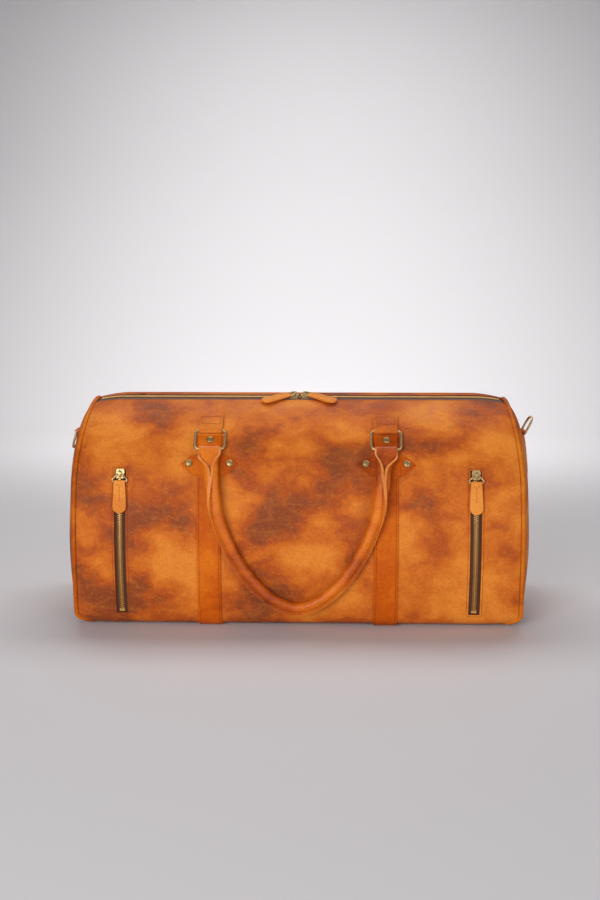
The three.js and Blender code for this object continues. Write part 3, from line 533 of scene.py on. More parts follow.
def leather(name, golden, tan, rust, plum, blotch=1.0, gloss=0.5, shine=0.12):
    """Waxed pull-up leather: cloudy patches where the wax has moved, over a fine pebbled grain."""
    n = Nodes(name)
    stretched = n.mapped((0.85, 1.0, 1.1))
    warp = n.noise(8, 2, vector=stretched)
    clouds = n.noise(15, 2, 0.45, 0.3, vector=stretched)
    patches = n.noise(44, 3, 0.5, 0.5, vector=stretched)
    field = n.math("ADD", n.math("MULTIPLY", clouds, 0.72), n.math("MULTIPLY", patches, 0.28))
    field = n.math("ADD", field, n.math("MULTIPLY", n.math("SUBTRACT", warp, 0.5), 0.3))
    field = n.spread(field, 0.5 - 0.2 / blotch, 0.5 + 0.2 / blotch)
    color = n.ramp(field, (0.0, plum), (0.26, rust), (0.54, tan), (1.0, golden))
    streaks = n.noise(1.0, 5, 0.65, 0.2, vector=n.mapped((34, 120, 190)))
    color = n.mix(n.spread(streaks, 0.45, 0.8, 0, 0.2), color, golden)
    folds = n.noise(24, 2, 0.45, 0.7, vector=n.mapped((0.8, 1, 1.3)))
    veins = n.math("ABSOLUTE", n.math("SUBTRACT", folds, 0.5), 0)
    color = n.mix(n.spread(veins, 0.0, 0.05, 0.12, 0), color, golden)
    speckle = n.noise(620, 3, 0.7)
    color = n.mix(n.spread(speckle, 0.35, 0.7, 0.2, 0.0), color, plum, "MULTIPLY")
    grain = n.noise(290, 4, 0.75)
    color = n.mix(n.spread(grain, 0.38, 0.52, 0.18, 0.0), color, plum)
    color = n.mix(n.spread(grain, 0.52, 0.68, 0.0, 0.26), color, golden)
    scuffs = n.noise(70, 6, 0.75, 1.2)
    color = n.mix(n.spread(scuffs, 0.62, 0.78, 0, 0.14), color, plum)
    pebbles = n.spread(n.cell_edges(760), 0, 0.12)
    creases = n.spread(n.cell_edges(150, vector=n.mapped((1, 1, 1.5))), 0, 0.06)
    wrinkles = n.noise(55, 4, 0.6, 0.6)
    n.bump((pebbles, 0.05), (speckle, 0.12), (grain, 0.28), (creases, 0.05), (wrinkles, 1.0))
    waxed = n.spread(patches, 0.3, 0.7, gloss - 0.07, gloss + 0.1)
    rough = n.math("ADD", waxed, n.spread(speckle, 0.3, 0.7, -0.05, 0.05))
    return n.finish(Base_Color=color, Roughness=rough, Specular_IOR_Level=shine)


def raw_edge(name, light, dark):
    """The cut edge of the leather, burnished and a little fibrous."""
    n = Nodes(name)
    fibre = n.noise(900, 4, 0.7)
    color = n.mix(n.spread(fibre, 0.35, 0.7), dark, light)
    color = n.mix(n.spread(n.noise(60, 3), 0.4, 0.65, 0, 0.5), color, dark)
    n.bump((fibre, 0.25))
    return n.finish(Base_Color=color, Roughness=0.55)


def metal(name, bright, dull, roughness, tarnish):
    """Brushed plating with dull stains."""
    n = Nodes(name)
    stain = n.noise(210, 5, 0.65, 0.8)
    brushed = n.noise(1900, 2, 0.6)
    color = n.mix(n.spread(stain, 0.42, 0.7, 0, tarnish), bright, dull)
    stained = n.spread(stain, 0.35, 0.7, roughness, roughness + 0.18)
    rough = n.math("ADD", stained, n.spread(brushed, 0.3, 0.7, -0.04, 0.04))
    n.bump((brushed, 0.015), (n.noise(160, 2), 0.04))
    return n.finish(Base_Color=color, Roughness=rough, Metallic=1.0)


def woven(name, light, dark, threads=1500):
    """Plain woven cloth or tape."""
    n = Nodes(name)
    bands = []
    for direction in ("X", "DIAGONAL"):
        wave = n.node("ShaderNodeTexWave", wave_type="BANDS", bands_direction=direction)
        wave.inputs["Scale"].default_value = threads / 6.3
        wave.inputs["Distortion"].default_value = 0.6
        n.link(n.coordinates, wave.inputs["Vector"])
        bands.append(wave.outputs["Fac"])
    weave = n.math("MULTIPLY", *bands)
    fuzz = n.noise(1200, 4, 0.7)
    tone = n.math("ADD", n.math("MULTIPLY", weave, 0.6), n.math("MULTIPLY", fuzz, 0.5))
    n.bump((weave, 0.2), (fuzz, 0.15))
    return n.finish(Base_Color=n.mix(tone, dark, light), Roughness=0.88, Sheen_Weight=0.25)


def thread(name, light, dark):
    """Twisted thread or cord."""
    n = Nodes(name)
    twist = n.noise(2600, 2, 0.6)
    n.bump((twist, 0.12))
    color = n.mix(n.spread(twist, 0.35, 0.65), dark, light)
    return n.finish(Base_Color=color, Roughness=0.62, Specular_IOR_Level=0.15)


HIDE = leather("hide", srgb(236, 142, 50), srgb(212, 110, 32), srgb(184, 84, 28), srgb(144, 70, 36))
STRAP_HIDE = leather(
    "strap_hide", srgb(228, 118, 18), srgb(206, 92, 6), srgb(184, 76, 2), srgb(134, 50, 4), 0.8
)
HANDLE_HIDE = leather(
    "handle_hide", srgb(240, 130, 12), srgb(216, 102, 4), srgb(184, 76, 0), srgb(136, 48, 2), 0.8, 0.36, 0.35
)
PALE_HIDE = leather(
    "pale_hide", srgb(246, 164, 78), srgb(240, 152, 64), srgb(228, 136, 52), srgb(192, 100, 38), 0.6, 0.6
)
PIPING_HIDE = leather(
    "piping_hide", srgb(232, 134, 30), srgb(214, 112, 16), srgb(188, 86, 8), srgb(140, 58, 10), 0.8
)
EDGE = raw_edge("edge", srgb(244, 156, 58), srgb(206, 106, 28))
DARK_EDGE = raw_edge("dark_edge", srgb(150, 74, 24), srgb(88, 40, 14))
BRASS = metal("brass", srgb(206, 176, 124), srgb(128, 98, 58), 0.4, 0.55)
AGED_BRASS = metal("aged_brass", srgb(186, 156, 104), srgb(128, 100, 62), 0.42, 0.8)
TEETH_BRASS = metal("teeth_brass", srgb(255, 212, 132), srgb(206, 146, 74), 0.38, 0.4)
TAPE = woven("tape", srgb(112, 56, 20), srgb(60, 28, 9))
CLOTH = woven("lining_cloth", srgb(112, 84, 60), srgb(66, 46, 32), 1100)
THREAD = thread("thread", srgb(158, 66, 16), srgb(104, 38, 8))
CORD = thread("cord", srgb(220, 208, 184), srgb(168, 152, 124))
BOARD = raw_edge("board", srgb(74, 66, 58), srgb(44, 38, 34))

# ---------------------------------------------------------------- the leather body


def wrap_columns(s):
    """x positions from seam to seam, for each s, with columns on the pocket windows' sides."""
    f = np.linspace(-1, 1, WRAP_COLUMNS)
    x = np.outer(reach_at(s) - seam_room(s), f)
    for side in (-1, 1):
        for edge in (-1, 1):
            target = side * (POCKET_X + edge * POCKET_HALF)
            x[:, np.argmin(np.abs(f * SEAM_REACH - target))] = target
    return x


def wrap_rows(start, end, pitch=ROW_PITCH, fixed=()):
    """Values of s from start to end, with a row on each of the fixed ones."""
    rows = np.linspace(start, end, int((end - start) / pitch) + 1)
    for target in fixed:
        rows[np.argmin(np.abs(rows - target))] = target
    return rows


def leather_panel(name, node, start, end, windows=False):
    """A leather panel of the wrap from seam to seam, between two places along the section."""
    s_low, s_high = s_at(POCKET_LOW), s_at(POCKET_HIGH)
    s = wrap_rows(start, end, fixed=(s_low, s_high) if windows else ())
    x = wrap_columns(s)
    worn = 0.6 * (np.exp(-(((s - start) / 1.2) ** 2)) + np.exp(-(((s - end) / 1.2) ** 2)))
    keep = np.ones((len(s) - 1, WRAP_COLUMNS - 1), bool)
    if windows:
        middle_s = (s[1:] + s[:-1]) / 2
        middle_x = (x[:, 1:] + x[:, :-1])[:-1] / 2
        inside = np.abs(np.abs(middle_x) - POCKET_X) < POCKET_HALF
        keep &= ~(inside & ((middle_s > s_low) & (middle_s < s_high))[:, None])
    mesh = Mesh()
    shell(mesh, on_wrap(x, s[:, None], -worn[:, None]), on_wrap(x, s[:, None], -LEATHER), keep)
    mesh.build(name, ROOT, [HIDE, DARK_EDGE], [node])


def end_rim():
    """The end panel's outline: s, y, z and the seam's reach, all the way round."""
    s = round_the_section(40, 4.0)
    p = on_wrap(reach_at(s), s, -END_RIM_INSET)
    return s, p[:, 1], p[:, 2], reach_at(s)


RIM_S, RIM_Y, RIM_Z, RIM_REACH = end_rim()
RIM_TOP = int(np.argmax(RIM_Z))
RIM_LOW_Z = float(RIM_Z.min())


def bulge_share(y, z):
    """How much of its bulge an end panel has: none at its rim and all of it in the middle."""
    wall = RIM_S >= 0
    ys, zs = RIM_Y[wall], RIM_Z[wall]
    top = int(np.argmax(zs))
    front = np.interp(z, zs[: top + 1], ys[: top + 1])
    back = np.interp(z, zs[top:][::-1], ys[top:][::-1])
    across = np.clip((2 * y - front - back) / np.maximum(back - front, 1), -1, 1)
    upward = np.clip((2 * z - RIM_LOW_Z - zs[top]) / (zs[top] - RIM_LOW_Z), -1, 1)
    return np.sqrt((1 - across**2) * (1 - upward**2))


def end_reach(y, z, share, rim_reach):
    """x of the end panel's surface, before its side of the bag is chosen."""
    reach = SEAM_REACH + (rim_reach - SEAM_REACH) * share
    soft = (0.9 * wave_sum(END_WAVES, y, z) - 0.5) * (1 - share**4)
    fuller = END_FILL * (1 - smooth(z, 60, END_TAB_LOW - 8))
    return reach + (END_BULGE + fuller - reach) * bulge_share(y, z) + soft


def end_surface(y, z):
    """x of the end panel's surface above its centre, near the middle plane."""
    share = (z - END_CENTRE_Z) / (RIM_Z[RIM_TOP] - END_CENTRE_Z)
    return end_reach(y, z, share, RIM_REACH[RIM_TOP])


def end_panel(side_name, side):
    """The bulging end: rings from its middle out to the rim, on both faces, and the cut edge round it."""
    shares = np.sin(np.linspace(0, math.pi / 2, 40))[1:] ** 0.9
    y = np.outer(shares, RIM_Y)
    z = END_CENTRE_Z + np.outer(shares, RIM_Z - END_CENTRE_Z)
    grid = np.stack([side * end_reach(y, z, shares[:, None], RIM_REACH[None, :]), y, z], -1)
    centre = np.array([side * end_reach(0.0, END_CENTRE_Z, 0.0, SEAM_REACH), 0, END_CENTRE_Z])
    count = len(RIM_S)
    around = np.arange(count)
    ahead = np.roll(around, -1)
    ring = (np.arange(len(shares) - 1) * count)[:, None]
    quads = [ring + around, ring + ahead, ring + count + ahead, ring + count + around]
    quads = np.stack(quads, -1).reshape(-1, 4)
    fan = np.stack([np.full(count, len(shares) * count), ahead, around], -1)
    mesh = Mesh()
    for depth in (0, LEATHER):
        skin = np.concatenate([grid.reshape(-1, 3), centre[None]]) - [side * depth, 0, 0]
        start = mesh.add_points(skin)
        turn = -1 if (depth > 0) == (side > 0) else 1
        mesh.add_faces(quads[:, ::turn] + start)
        mesh.add_faces(fan[:, ::turn] + start)
    last = (len(shares) - 1) * count
    rim = np.stack([last + around, last + ahead, last + ahead + start, last + around + start], -1)
    mesh.add_faces(rim[:, ::-side], CUT)
    mesh.build(f"{side_name}_end_leather", ROOT, [HIDE, DARK_EDGE], [f"{side_name}_end_panel"])


def piping(side_name, side):
    """A cord wrapped in a strip of leather, all round the end seam."""
    s = round_the_section(60, 2.5)
    path = on_wrap(reach_at(s), s, -PIPING_INSET) * [side, 1, 1]
    along = unit(np.roll(path, -1, 0) - np.roll(path, 1, 0))
    out = wrap_out(s)
    end = unit(np.cross(along, out))
    end *= np.sign(end[:, :1] * side)
    radius = PIPING_R * (1 + 0.03 * np.sin(s * 0.11) * np.sin(s * 0.043 + side))[:, None]
    sides = [path + radius * (math.cos(t) * out + math.sin(t) * end) for t in circle(16)]
    mesh = Mesh()
    tube(mesh, np.stack(sides, 1), closed=True)
    name = f"{side_name}_piping"
    mesh.build(f"{name}_leather", ROOT, [PIPING_HIDE], [name])


# ---------------------------------------------------------------- straps, patches, tabs and rivets


def strip_on_wrap(mesh, x, width, s, low, high, edge_drop, shoulder_drop):
    """A strip that follows the wrap, with its long edges rounded over."""
    across = np.array([-1, -0.965, -0.88, -0.6, -0.3, 0, 0.3, 0.6, 0.88, 0.965, 1]) * width / 2
    drop = np.zeros(len(across))
    drop[[0, -1]] = edge_drop
    drop[[1, -2]] = shoulder_drop
    shell(mesh, on_wrap(x + across, s[:, None], high - drop), on_wrap(x + across, s[:, None], low))


def plate_on_wrap(mesh, x, width, s, low, high):
    """A small stiff plate that follows the wrap."""
    strip_on_wrap(mesh, x, width, s, low, high, 0.275 * (high - low), 0.06 * (high - low))


def straps(threads):
    """Each strap runs up the front, over the base and up the back as one strip."""
    front = wrap_rows(0, s_at(STRAP_TOP), 3)
    back = wrap_rows(s_at(180 - STRAP_TOP), S_END, 3)
    under = np.linspace(0, -2 * BASE_EDGE, 60)
    run = np.concatenate([front[::-1], under[1:-1], back[::-1]])
    sewn = (front[front < s_at(WING_LOW) - 2], back[back > s_at(180 - WING_LOW) + 2])
    for name, side in SIDES:
        x = side * STRAP_X
        mesh = Mesh()
        strip_on_wrap(mesh, x, STRAP_W, run, GAP, GAP + LEATHER, 0.5, 0.1)
        mesh.build(f"{name}_strap_leather", ROOT, [STRAP_HIDE, EDGE], [f"{name}_strap"])
        for edge in (-1, 1):
            for stretch in sewn:
                stitch_on_wrap(threads, x + edge * (STRAP_W / 2 - SEWN_IN), stretch, GAP + LEATHER)


WING_LOW, WING_HIGH = 17.8, 29.4
WING_TIP, WING_FLAT, WING_TIP_SHARE = 36, 21.4, 0.55
WING_THICK, WING_ROUNDING = 2, 0.55


def wing_outline(share):
    """Half the width of a wing patch, at a share of its height."""
    return np.interp(share, [0, WING_TIP_SHARE, 1], [WING_FLAT, WING_TIP, WING_FLAT])


def wing_base(dx):
    """The wing patch lies on the panel and steps up over the strap."""
    over = STRAP_W / 2 + 1.2
    return GAP + (LEATHER + GAP) * (1 - smooth(np.abs(dx), over, over + 3.2))


def wing(anchor, x, side, threads):
    """The six-sided patch that holds an anchor's lower rivets."""
    low, high = s_at(at_side(WING_LOW, side)), s_at(at_side(WING_HIGH, side))
    shares = np.concatenate([[0, 0.012], np.linspace(0.04, 0.96, 16), [0.988, 1]])
    s = low + (high - low) * shares
    f = np.concatenate([[-1, -0.988], np.linspace(-0.965, 0.965, 41), [0.988, 1]])
    dx = np.outer(wing_outline(shares), f)
    end_rim_share = np.clip(1 - np.minimum(shares, 1 - shares) / 0.03, 0, 1)[:, None]
    side_rim_share = np.clip(1 - (1 - np.abs(f)) / 0.02, 0, 1)[None, :]
    rim = np.maximum(end_rim_share, side_rim_share)
    base = wing_base(dx)
    outer = on_wrap(x + dx, s[:, None], base + WING_THICK - WING_ROUNDING * rim**2)
    mesh = Mesh()
    shell(mesh, outer, on_wrap(x + dx, s[:, None], base))
    mesh.build(f"{anchor}_wing_leather", ROOT, [STRAP_HIDE, EDGE], [f"{anchor}_wing"])
    sewn = np.linspace(0.1, 0.9, 30)
    for edge in (-1, 1):
        line = edge * (wing_outline(sewn) - 2.8)
        face = wing_base(line) + WING_THICK
        stitch_on_wrap(threads, x + line, low + (high - low) * sewn, face, SHORT_STITCH)


def rivet_cap(mesh, seat, out):
    """A domed cap with a turned rim round it: shares of its radius and of its height, from the middle out."""
    profile = [
        (0.004, 0.8), (0.4, 0.78), (0.62, 0.7), (0.7, 0.62), (0.76, 0.68), (0.84, 0.78), (0.93, 0.66),
        (0.985, 0.4), (1.0, 0.2), (0.985, 0.0), (0.5, -0.01), (0.004, -0.01),
    ]
    side = unit(np.cross(out, [1, 0.01, 0]))
    other = np.cross(out, side)
    rings = []
    for radius, height in profile:
        middle = seat + out * height * RIVET_CAP_HEIGHT
        r = RIVET_CAP_R * radius
        rings.append([middle + r * (math.cos(t) * side + math.sin(t) * other) for t in circle(28)])
    tube(mesh, rings)


def rivets(anchor, x, side):
    """An anchor's three rivets, and the stiffener that they hold behind the leather."""
    mesh = Mesh()
    places = [
        (x - RIVET_SPREAD, RIVET_SIDE, WING_THICK),
        (x + RIVET_SPREAD, RIVET_SIDE, WING_THICK),
        (x, RIVET_MID, LEATHER),
    ]
    for rivet_x, angle, under in places:
        s = np.array(s_at(at_side(angle, side)))
        rivet_cap(mesh, on_wrap(rivet_x, s, GAP + under + 0.05), wrap_out(s))
    inside = LEATHER + GAP
    rows = wrap_rows(*sorted(s_at(at_side(a, side)) for a in (RIVET_SIDE - 3, RIVET_MID + 2.6)), 4)
    plate_on_wrap(mesh, x, 2 * (RIVET_SPREAD + 4), rows, -inside - 0.8, -inside)
    mesh.build(f"{anchor}_rivet_caps", ROOT, [AGED_BRASS, AGED_BRASS], [f"{anchor}_rivets"])


def folded_tab(mesh, line, normals, across, width, bar, ply):
    """A strip folded round a bar, with both its ends running back along a line that starts at the bar."""
    facing = normals[0]
    away = unit(line[-1] - bar)
    away = unit(away - facing * np.dot(away, facing))
    turns = np.linspace(math.pi / 2, -math.pi / 2, 19)[:, None]
    fold = -away * np.cos(turns) - facing * np.sin(turns)
    fold_r = RING_WIRE + 0.25
    top_out = (line + normals * (2 * ply + PLY_GAP))[::-1]
    top_in = (line + normals * (ply + PLY_GAP))[::-1]
    outside = np.concatenate([top_out, bar + (fold_r + ply) * fold, line])
    inside = np.concatenate([top_in, bar + fold_r * fold, line + normals * ply])
    shares = np.array([-1, -0.97, -0.9, -0.5, 0, 0.5, 0.9, 0.97, 1]) / 2
    drops = np.array([0.4, 0.08, 0, 0, 0, 0, 0, 0.08, 0.4])
    ribbon(mesh, inside, outside, np.array(across), width, shares, drops)


def ring_frame(x, side):
    """A handle ring's fixed bar, the directions out of the bag and down along the ring, and its low bar."""
    s = np.array(s_at(at_side(RING_ANGLE, side)))
    out = wrap_out(s)
    down = np.array([0, -side * out[2], side * out[1]])
    on_section = np.array([x, np.interp(s, S, SECTION_Y), np.interp(s, S, SECTION_Z)])
    bar = on_section + out * (GAP + RING_WIRE + GAP + TAB_PLY)
    return bar, out, down, bar + down * (RING_H - 2 * RING_WIRE)


def ring_wire(name, bar, across, along, size, corners, steps):
    """A rounded ring of wire on its own body, of a given outer size, that turns on its near bar."""
    (width, height), (corner_near, corner_far) = size, corners
    inner_width, inner_height = width - 2 * RING_WIRE, height - 2 * RING_WIRE
    outline = rounded_outline(inner_width, inner_width, inner_height, corner_near, corner_far, steps)
    path = bar + outline[:, :1] * across + outline[:, 1:] * along
    mesh = Mesh()
    wire_path(mesh, path, unit(np.cross(across, along)), RING_WIRE, 16)
    mesh.build(f"{name}_wire", f"{name}_body", [BRASS], [name])


def handle_ring(anchor, x, side):
    bar, _, down, _ = ring_frame(x, side)
    ring_wire(f"{anchor}_ring", bar, [1, 0, 0], down, (RING_W, RING_H), (RING_CORNER, RING_CORNER), 8)


def ring_tab(anchor, x, side, threads):
    """The folded tab that a handle ring turns in, sewn round its upper part."""
    bar, _, _, _ = ring_frame(x, side)
    s = np.linspace(float(s_at(at_side(RING_ANGLE, side))), float(s_at(at_side(TAB_TOP, side))), 14)
    mesh = Mesh()
    folded_tab(mesh, on_wrap(x, s, GAP), wrap_out(s), [1, 0, 0], TAB_W, bar, TAB_PLY)
    mesh.build(f"{anchor}_tab_leather", ROOT, [HIDE, EDGE], [f"{anchor}_ring_tab"])
    face = GAP + 2 * TAB_PLY + PLY_GAP
    half = TAB_W / 2 - SEWN_IN
    low, high = s[0] + (s[-1] - s[0]) * 0.42, s[-1] - (s[-1] - s[0]) * 0.1
    for level in (high, low):
        stitch_on_wrap(threads, x + np.linspace(-half, half, 12), level, face, SHORT_STITCH)
    for edge in (-1, 1):
        stitch_on_wrap(threads, x + edge * half, np.linspace(low, high, 12), face, SHORT_STITCH)


# ---------------------------------------------------------------- handles

HANDLE_R, HANDLE_FIN, HANDLE_POWER = 6.3, 4.2, 1.75
HANDLE_SPAN, HANDLE_TOP, HANDLE_LOW, HANDLE_OVER = 104.5, 200, 30.5, 11
LOOP_W, CORE_R = 25, 3.2
V_LENGTH, TWIST_LENGTH, FLAT_LENGTH = 35, 85, 70
HANDLE_CLEAR, HANDLE_PITCH = 0.8, 2.2
FIN_ROOT, FIN_GAP, FIN_SEAM, LOOP_SPREAD = 1.6, 0.12, 2.0, 0.42
HALF_TURN = 2.75  # how far round each half of the rolled leather goes, in radians
WALL_CENTRE_Z = arc_list()[1][2]
ARC_STEPS, FIN_STEPS = 26, 10
FOLD_STEPS, TONGUE_STEPS, TONGUE_TIP = 17, 18, 4


def handle_y(z, side):
    """The handle lies over the bulge of the wall and hangs straight below it."""
    angles = ANGLES[(ANGLES > -CORNER_ANGLE) & (ANGLES < 85)]
    s = s_at(at_side(angles, side))
    heights = np.interp(s, S, SECTION_Z)
    order = np.argsort(heights)
    at = np.interp(np.maximum(z, WALL_CENTRE_Z), heights[order], s[order])
    ny, nz = section_normal(at)
    clear = HANDLE_R + HANDLE_CLEAR + HANDLE_OVER * smooth(z, WALL_CENTRE_Z, HANDLE_TOP)
    return np.interp(at, S, SECTION_Y) + clear * ny / np.clip(1 - nz**2, 0.2, 1)


def handle_path(side):
    """The rolled handle's middle line from the right ring to the left one, and the distance along it."""
    t = np.linspace(0, math.pi, 161)
    power = 2 / HANDLE_POWER
    x = HANDLE_SPAN * np.sign(np.cos(t)) * np.abs(np.cos(t)) ** power
    z = HANDLE_TOP - (HANDLE_TOP - HANDLE_LOW) * np.abs(np.sin(t)) ** power
    roll = np.stack([x, handle_y(z, side), z], -1)
    low_right, low_left = ring_frame(STRAP_X, side)[3], ring_frame(-STRAP_X, side)[3]
    k = np.linspace(0, 1, 14)[:-1, None]
    right, left = low_right + (roll[0] - low_right) * k, low_left + (roll[-1] - low_left) * k
    path = np.concatenate([right, roll, left[::-1]])
    for _ in range(6):
        path[1:-1] = path[1:-1] * 0.5 + (path[2:] + path[:-2]) * 0.25
    run = run_along(path)
    at = np.linspace(0, run[-1], int(run[-1] / HANDLE_PITCH))
    return points_at(at, run, path), at


def half_section(closed, fin, width):
    """Half of the handle's cross-section, along the middle of the sheet: two coordinates and its angle."""
    roll = HALF_TURN * closed * np.linspace(0, 1, ARC_STEPS)
    bend = np.linspace(0, 1, FIN_STEPS)[1:]
    angles = np.concatenate([roll, roll[-1] + (math.pi / 2 - roll[-1]) * smooth(bend, 0, 0.55)])
    roll_lengths = np.full(ARC_STEPS - 1, width / 2 / (ARC_STEPS - 1))
    lengths = np.concatenate([roll_lengths, np.full(FIN_STEPS - 1, fin / (FIN_STEPS - 1))])
    middle = (angles[1:] + angles[:-1]) / 2
    sideways = np.concatenate([[0], np.cumsum(np.cos(middle) * lengths)])
    frontwards = np.concatenate([[0], np.cumsum(np.sin(middle) * lengths)])
    return sideways, frontwards, angles


def handle_frames(path, side):
    """The handle's direction, the direction away from the middle of its U, and the way out of the bag."""
    front = np.array([0, -side, 0], float)
    along = unit(np.gradient(path, axis=0))
    outward = unit(np.cross(along, front))
    if outward[len(path) // 2, 2] > 0:
        outward = -outward
    return along, outward, front


def handle_section(d):
    """The rolled leather at a distance from its ring: its outside, its inside, and its fin's tip."""
    tube_width = 2 * HALF_TURN * (HANDLE_R - LEATHER / 2)
    closed = float(smooth(d, 1.0, V_LENGTH))
    fin = HANDLE_FIN * float(smooth(d, V_LENGTH - 3, V_LENGTH + 18)) + FIN_ROOT
    width = LOOP_W + (tube_width - LOOP_W) * float(smooth(d, 2, V_LENGTH + 5))
    sideways, frontwards, angles = half_section(max(closed, 0.02), fin, width)
    frontwards = frontwards - width / (2 * HALF_TURN) * closed
    surfaces = []
    for half, least in ((LEATHER / 2, 0), (-LEATHER / 2, FIN_GAP)):
        right = np.stack([sideways + np.sin(angles) * half, frontwards - np.cos(angles) * half], -1)
        section = np.concatenate([right[::-1] * [-1, 1], right[1:]])
        section[:, 0] = np.where(np.abs(section[:, 0]) < least, np.sign(section[:, 0]) * least, section[:, 0])
        surfaces.append(section)
    return surfaces, frontwards[-1]


def handle(name, side):
    """A rolled handle: a flat loop at each ring that closes into a tube with a sewn fin, round a cord."""
    path, at = handle_path(side)
    along, outward, front = handle_frames(path, side)
    from_end = np.minimum(at, at[-1] - at)
    rows, to_sides, seams = ([], []), [], []
    for p, t, o, d in zip(path, along, outward, from_end):
        surfaces, fin_tip = handle_section(d)
        twist = float(smooth(d, V_LENGTH, V_LENGTH + TWIST_LENGTH)) * math.pi / 2
        f = unit(front - t * np.dot(front, t))
        o = unit(o - t * np.dot(o, t) - f * np.dot(o, f))
        to_fin = math.cos(twist) * f + math.sin(twist) * o
        to_side = math.cos(twist) * o - math.sin(twist) * f
        flatter = 1 - smooth(d, V_LENGTH, V_LENGTH + FLAT_LENGTH)
        wider = LOOP_SPREAD * float(smooth(d, 4, V_LENGTH) * flatter)
        for section, surface in zip(surfaces, rows):
            around = section[:, :1] * to_side + section[:, 1:] * to_fin
            surface.append(p + around + np.outer(around @ o, o) * wider)
        to_sides.append(to_side)
        seams.append(p + to_fin * (fin_tip - FIN_SEAM))
    body = f"{name}_handle_body"
    inside = from_end > V_LENGTH + 14
    sides = [path + CORE_R * (math.cos(w) * outward + math.sin(w) * front) for w in circle(12)]
    cord = Mesh()
    tube(cord, np.stack(sides, 1)[inside])
    cord.build(f"{name}_handle_cord", body, [CORD], [f"{name}_handle_core"])
    leather_roll = Mesh()
    shell(leather_roll, np.array(rows[0]), np.array(rows[1]))
    tongues(leather_roll, path, along, front)
    leather_roll.build(f"{name}_handle_leather", body, [HANDLE_HIDE, EDGE], [f"{name}_handle"])
    threads = Mesh()
    sewn = from_end > V_LENGTH + 16
    to_side, seam = np.array(to_sides)[sewn], np.array(seams)[sewn]
    for face in (-1, 1):
        stitch(threads, seam + face * to_side * (LEATHER + 0.25), face * to_side, LONG_STITCH)
    threads.build(f"{name}_handle_stitches", body, [THREAD])


def tongues(mesh, path, along, front):
    """At each ring the leather goes over the bar and comes down inside the roll as a narrowing tongue."""
    for order in (1, -1):
        p = path[::order][:TONGUE_STEPS]
        t = along[::order][:TONGUE_STEPS] * order
        f = unit(front - t * (t @ front)[:, None])
        fold_r = RING_WIRE + GAP
        turns = np.linspace(-math.pi / 2, math.pi / 2, FOLD_STEPS)[:, None]
        fold = f[0] * np.sin(turns) - t[0] * np.cos(turns)
        run = np.linalg.norm(p - p[0], axis=1)[1:, None]
        sink = smooth(run, 0, 30)
        lift = fold_r * (1 - sink) - 1.2 * sink
        inside = np.concatenate([p[0] + fold * fold_r, p[1:] + f[1:] * lift])
        outside = np.concatenate([p[0] + fold * (fold_r + LEATHER), p[1:] + f[1:] * (lift + LEATHER)])
        narrowing = LOOP_W - (LOOP_W - TONGUE_TIP) * smooth(run[:, 0], 2, 36)
        widths = np.concatenate([np.full(FOLD_STEPS, LOOP_W), narrowing])
        shares = np.array([-1, -0.96, -0.85, -0.4, 0, 0.4, 0.85, 0.96, 1]) / 2
        drops = np.array([0.4, 0.1, 0, 0, 0, 0, 0, 0.1, 0.4])
        ribbon(mesh, inside, outside, np.array([1, 0, 0]), widths, shares, drops)


# ---------------------------------------------------------------- zips

TOOTH_PITCH, TOOTH_WIDE, TOOTH_TALL = 1.3, 1.275, 1.65
TOOTH_SECTIONS = [(-0.7, 0.3, 0.3), (-0.45, 0.5, 0.5), (0.4, 0.38, 0.42), (2.3, 0.5, 0.5), (2.8, 0.36, 0.32)]
TOOTH_CORNERS = [rad(angle) for angle in (20, 70, 110, 160, 200, 250, 290, 340)]


def teeth(mesh, places, along, across, up, rows=(-1, 1)):
    """Interlocked teeth: each row's teeth reach a little past the middle."""
    for i, (p, t, a, u) in enumerate(zip(places, along, across, up)):
        row = -1 if i % 2 else 1
        if row not in rows:
            continue
        sections = []
        for outwards, wide, tall in TOOTH_SECTIONS:
            middle = p + a * row * outwards
            wide, tall = t * wide * TOOTH_WIDE, u * tall * TOOTH_TALL
            sections.append([middle + wide * math.cos(v) + tall * math.sin(v) for v in TOOTH_CORNERS])
        tube(mesh, sections)


def zip_frame(x, s, out):
    """The middle of a closed zip and its directions along, across and up."""
    places = on_wrap(x, s, out)
    along = unit(np.gradient(places, axis=0))
    up = wrap_out(s)
    return places, along, unit(np.cross(up, along)), up


def main_zip():
    """Each side of the main zip: its row of teeth, and its tape with a bead along the teeth."""
    reach = float(reach_at(S_MOUTH)) - 9
    xs = np.arange(-reach, reach, TOOTH_PITCH)
    places, along, across, up = zip_frame(xs, np.full(len(xs), S_MOUTH), -0.7)
    towards_back = int(np.sign(across[0, 1]))
    for name, row, outer in (("front", -1, S_MOUTH_FRONT - 11), ("back", 1, S_MOUTH_BACK + 9)):
        chain = Mesh()
        teeth(chain, places, along, across, up, rows=(row * towards_back,))
        chain.build(f"{name}_teeth", ROOT, [TEETH_BRASS], [f"{name}_zip_teeth"])
        inner = S_MOUTH + row * 0.9
        s = np.linspace(min(inner, outer), max(inner, outer), 9)
        x = np.outer(reach_at(s) - seam_room(s) - 1, np.linspace(-1, 1, 120))
        s = s[:, None]
        bead = 0.7 * np.exp(-(((s - inner) / 1.3) ** 2))
        tape = Mesh()
        shell(tape, on_wrap(x, s, bead - LEATHER - GAP), on_wrap(x, s, -LEATHER - GAP - 0.8))
        tape.build(f"{name}_tape", ROOT, [TAPE, TAPE], [f"{name}_zip_tape"])


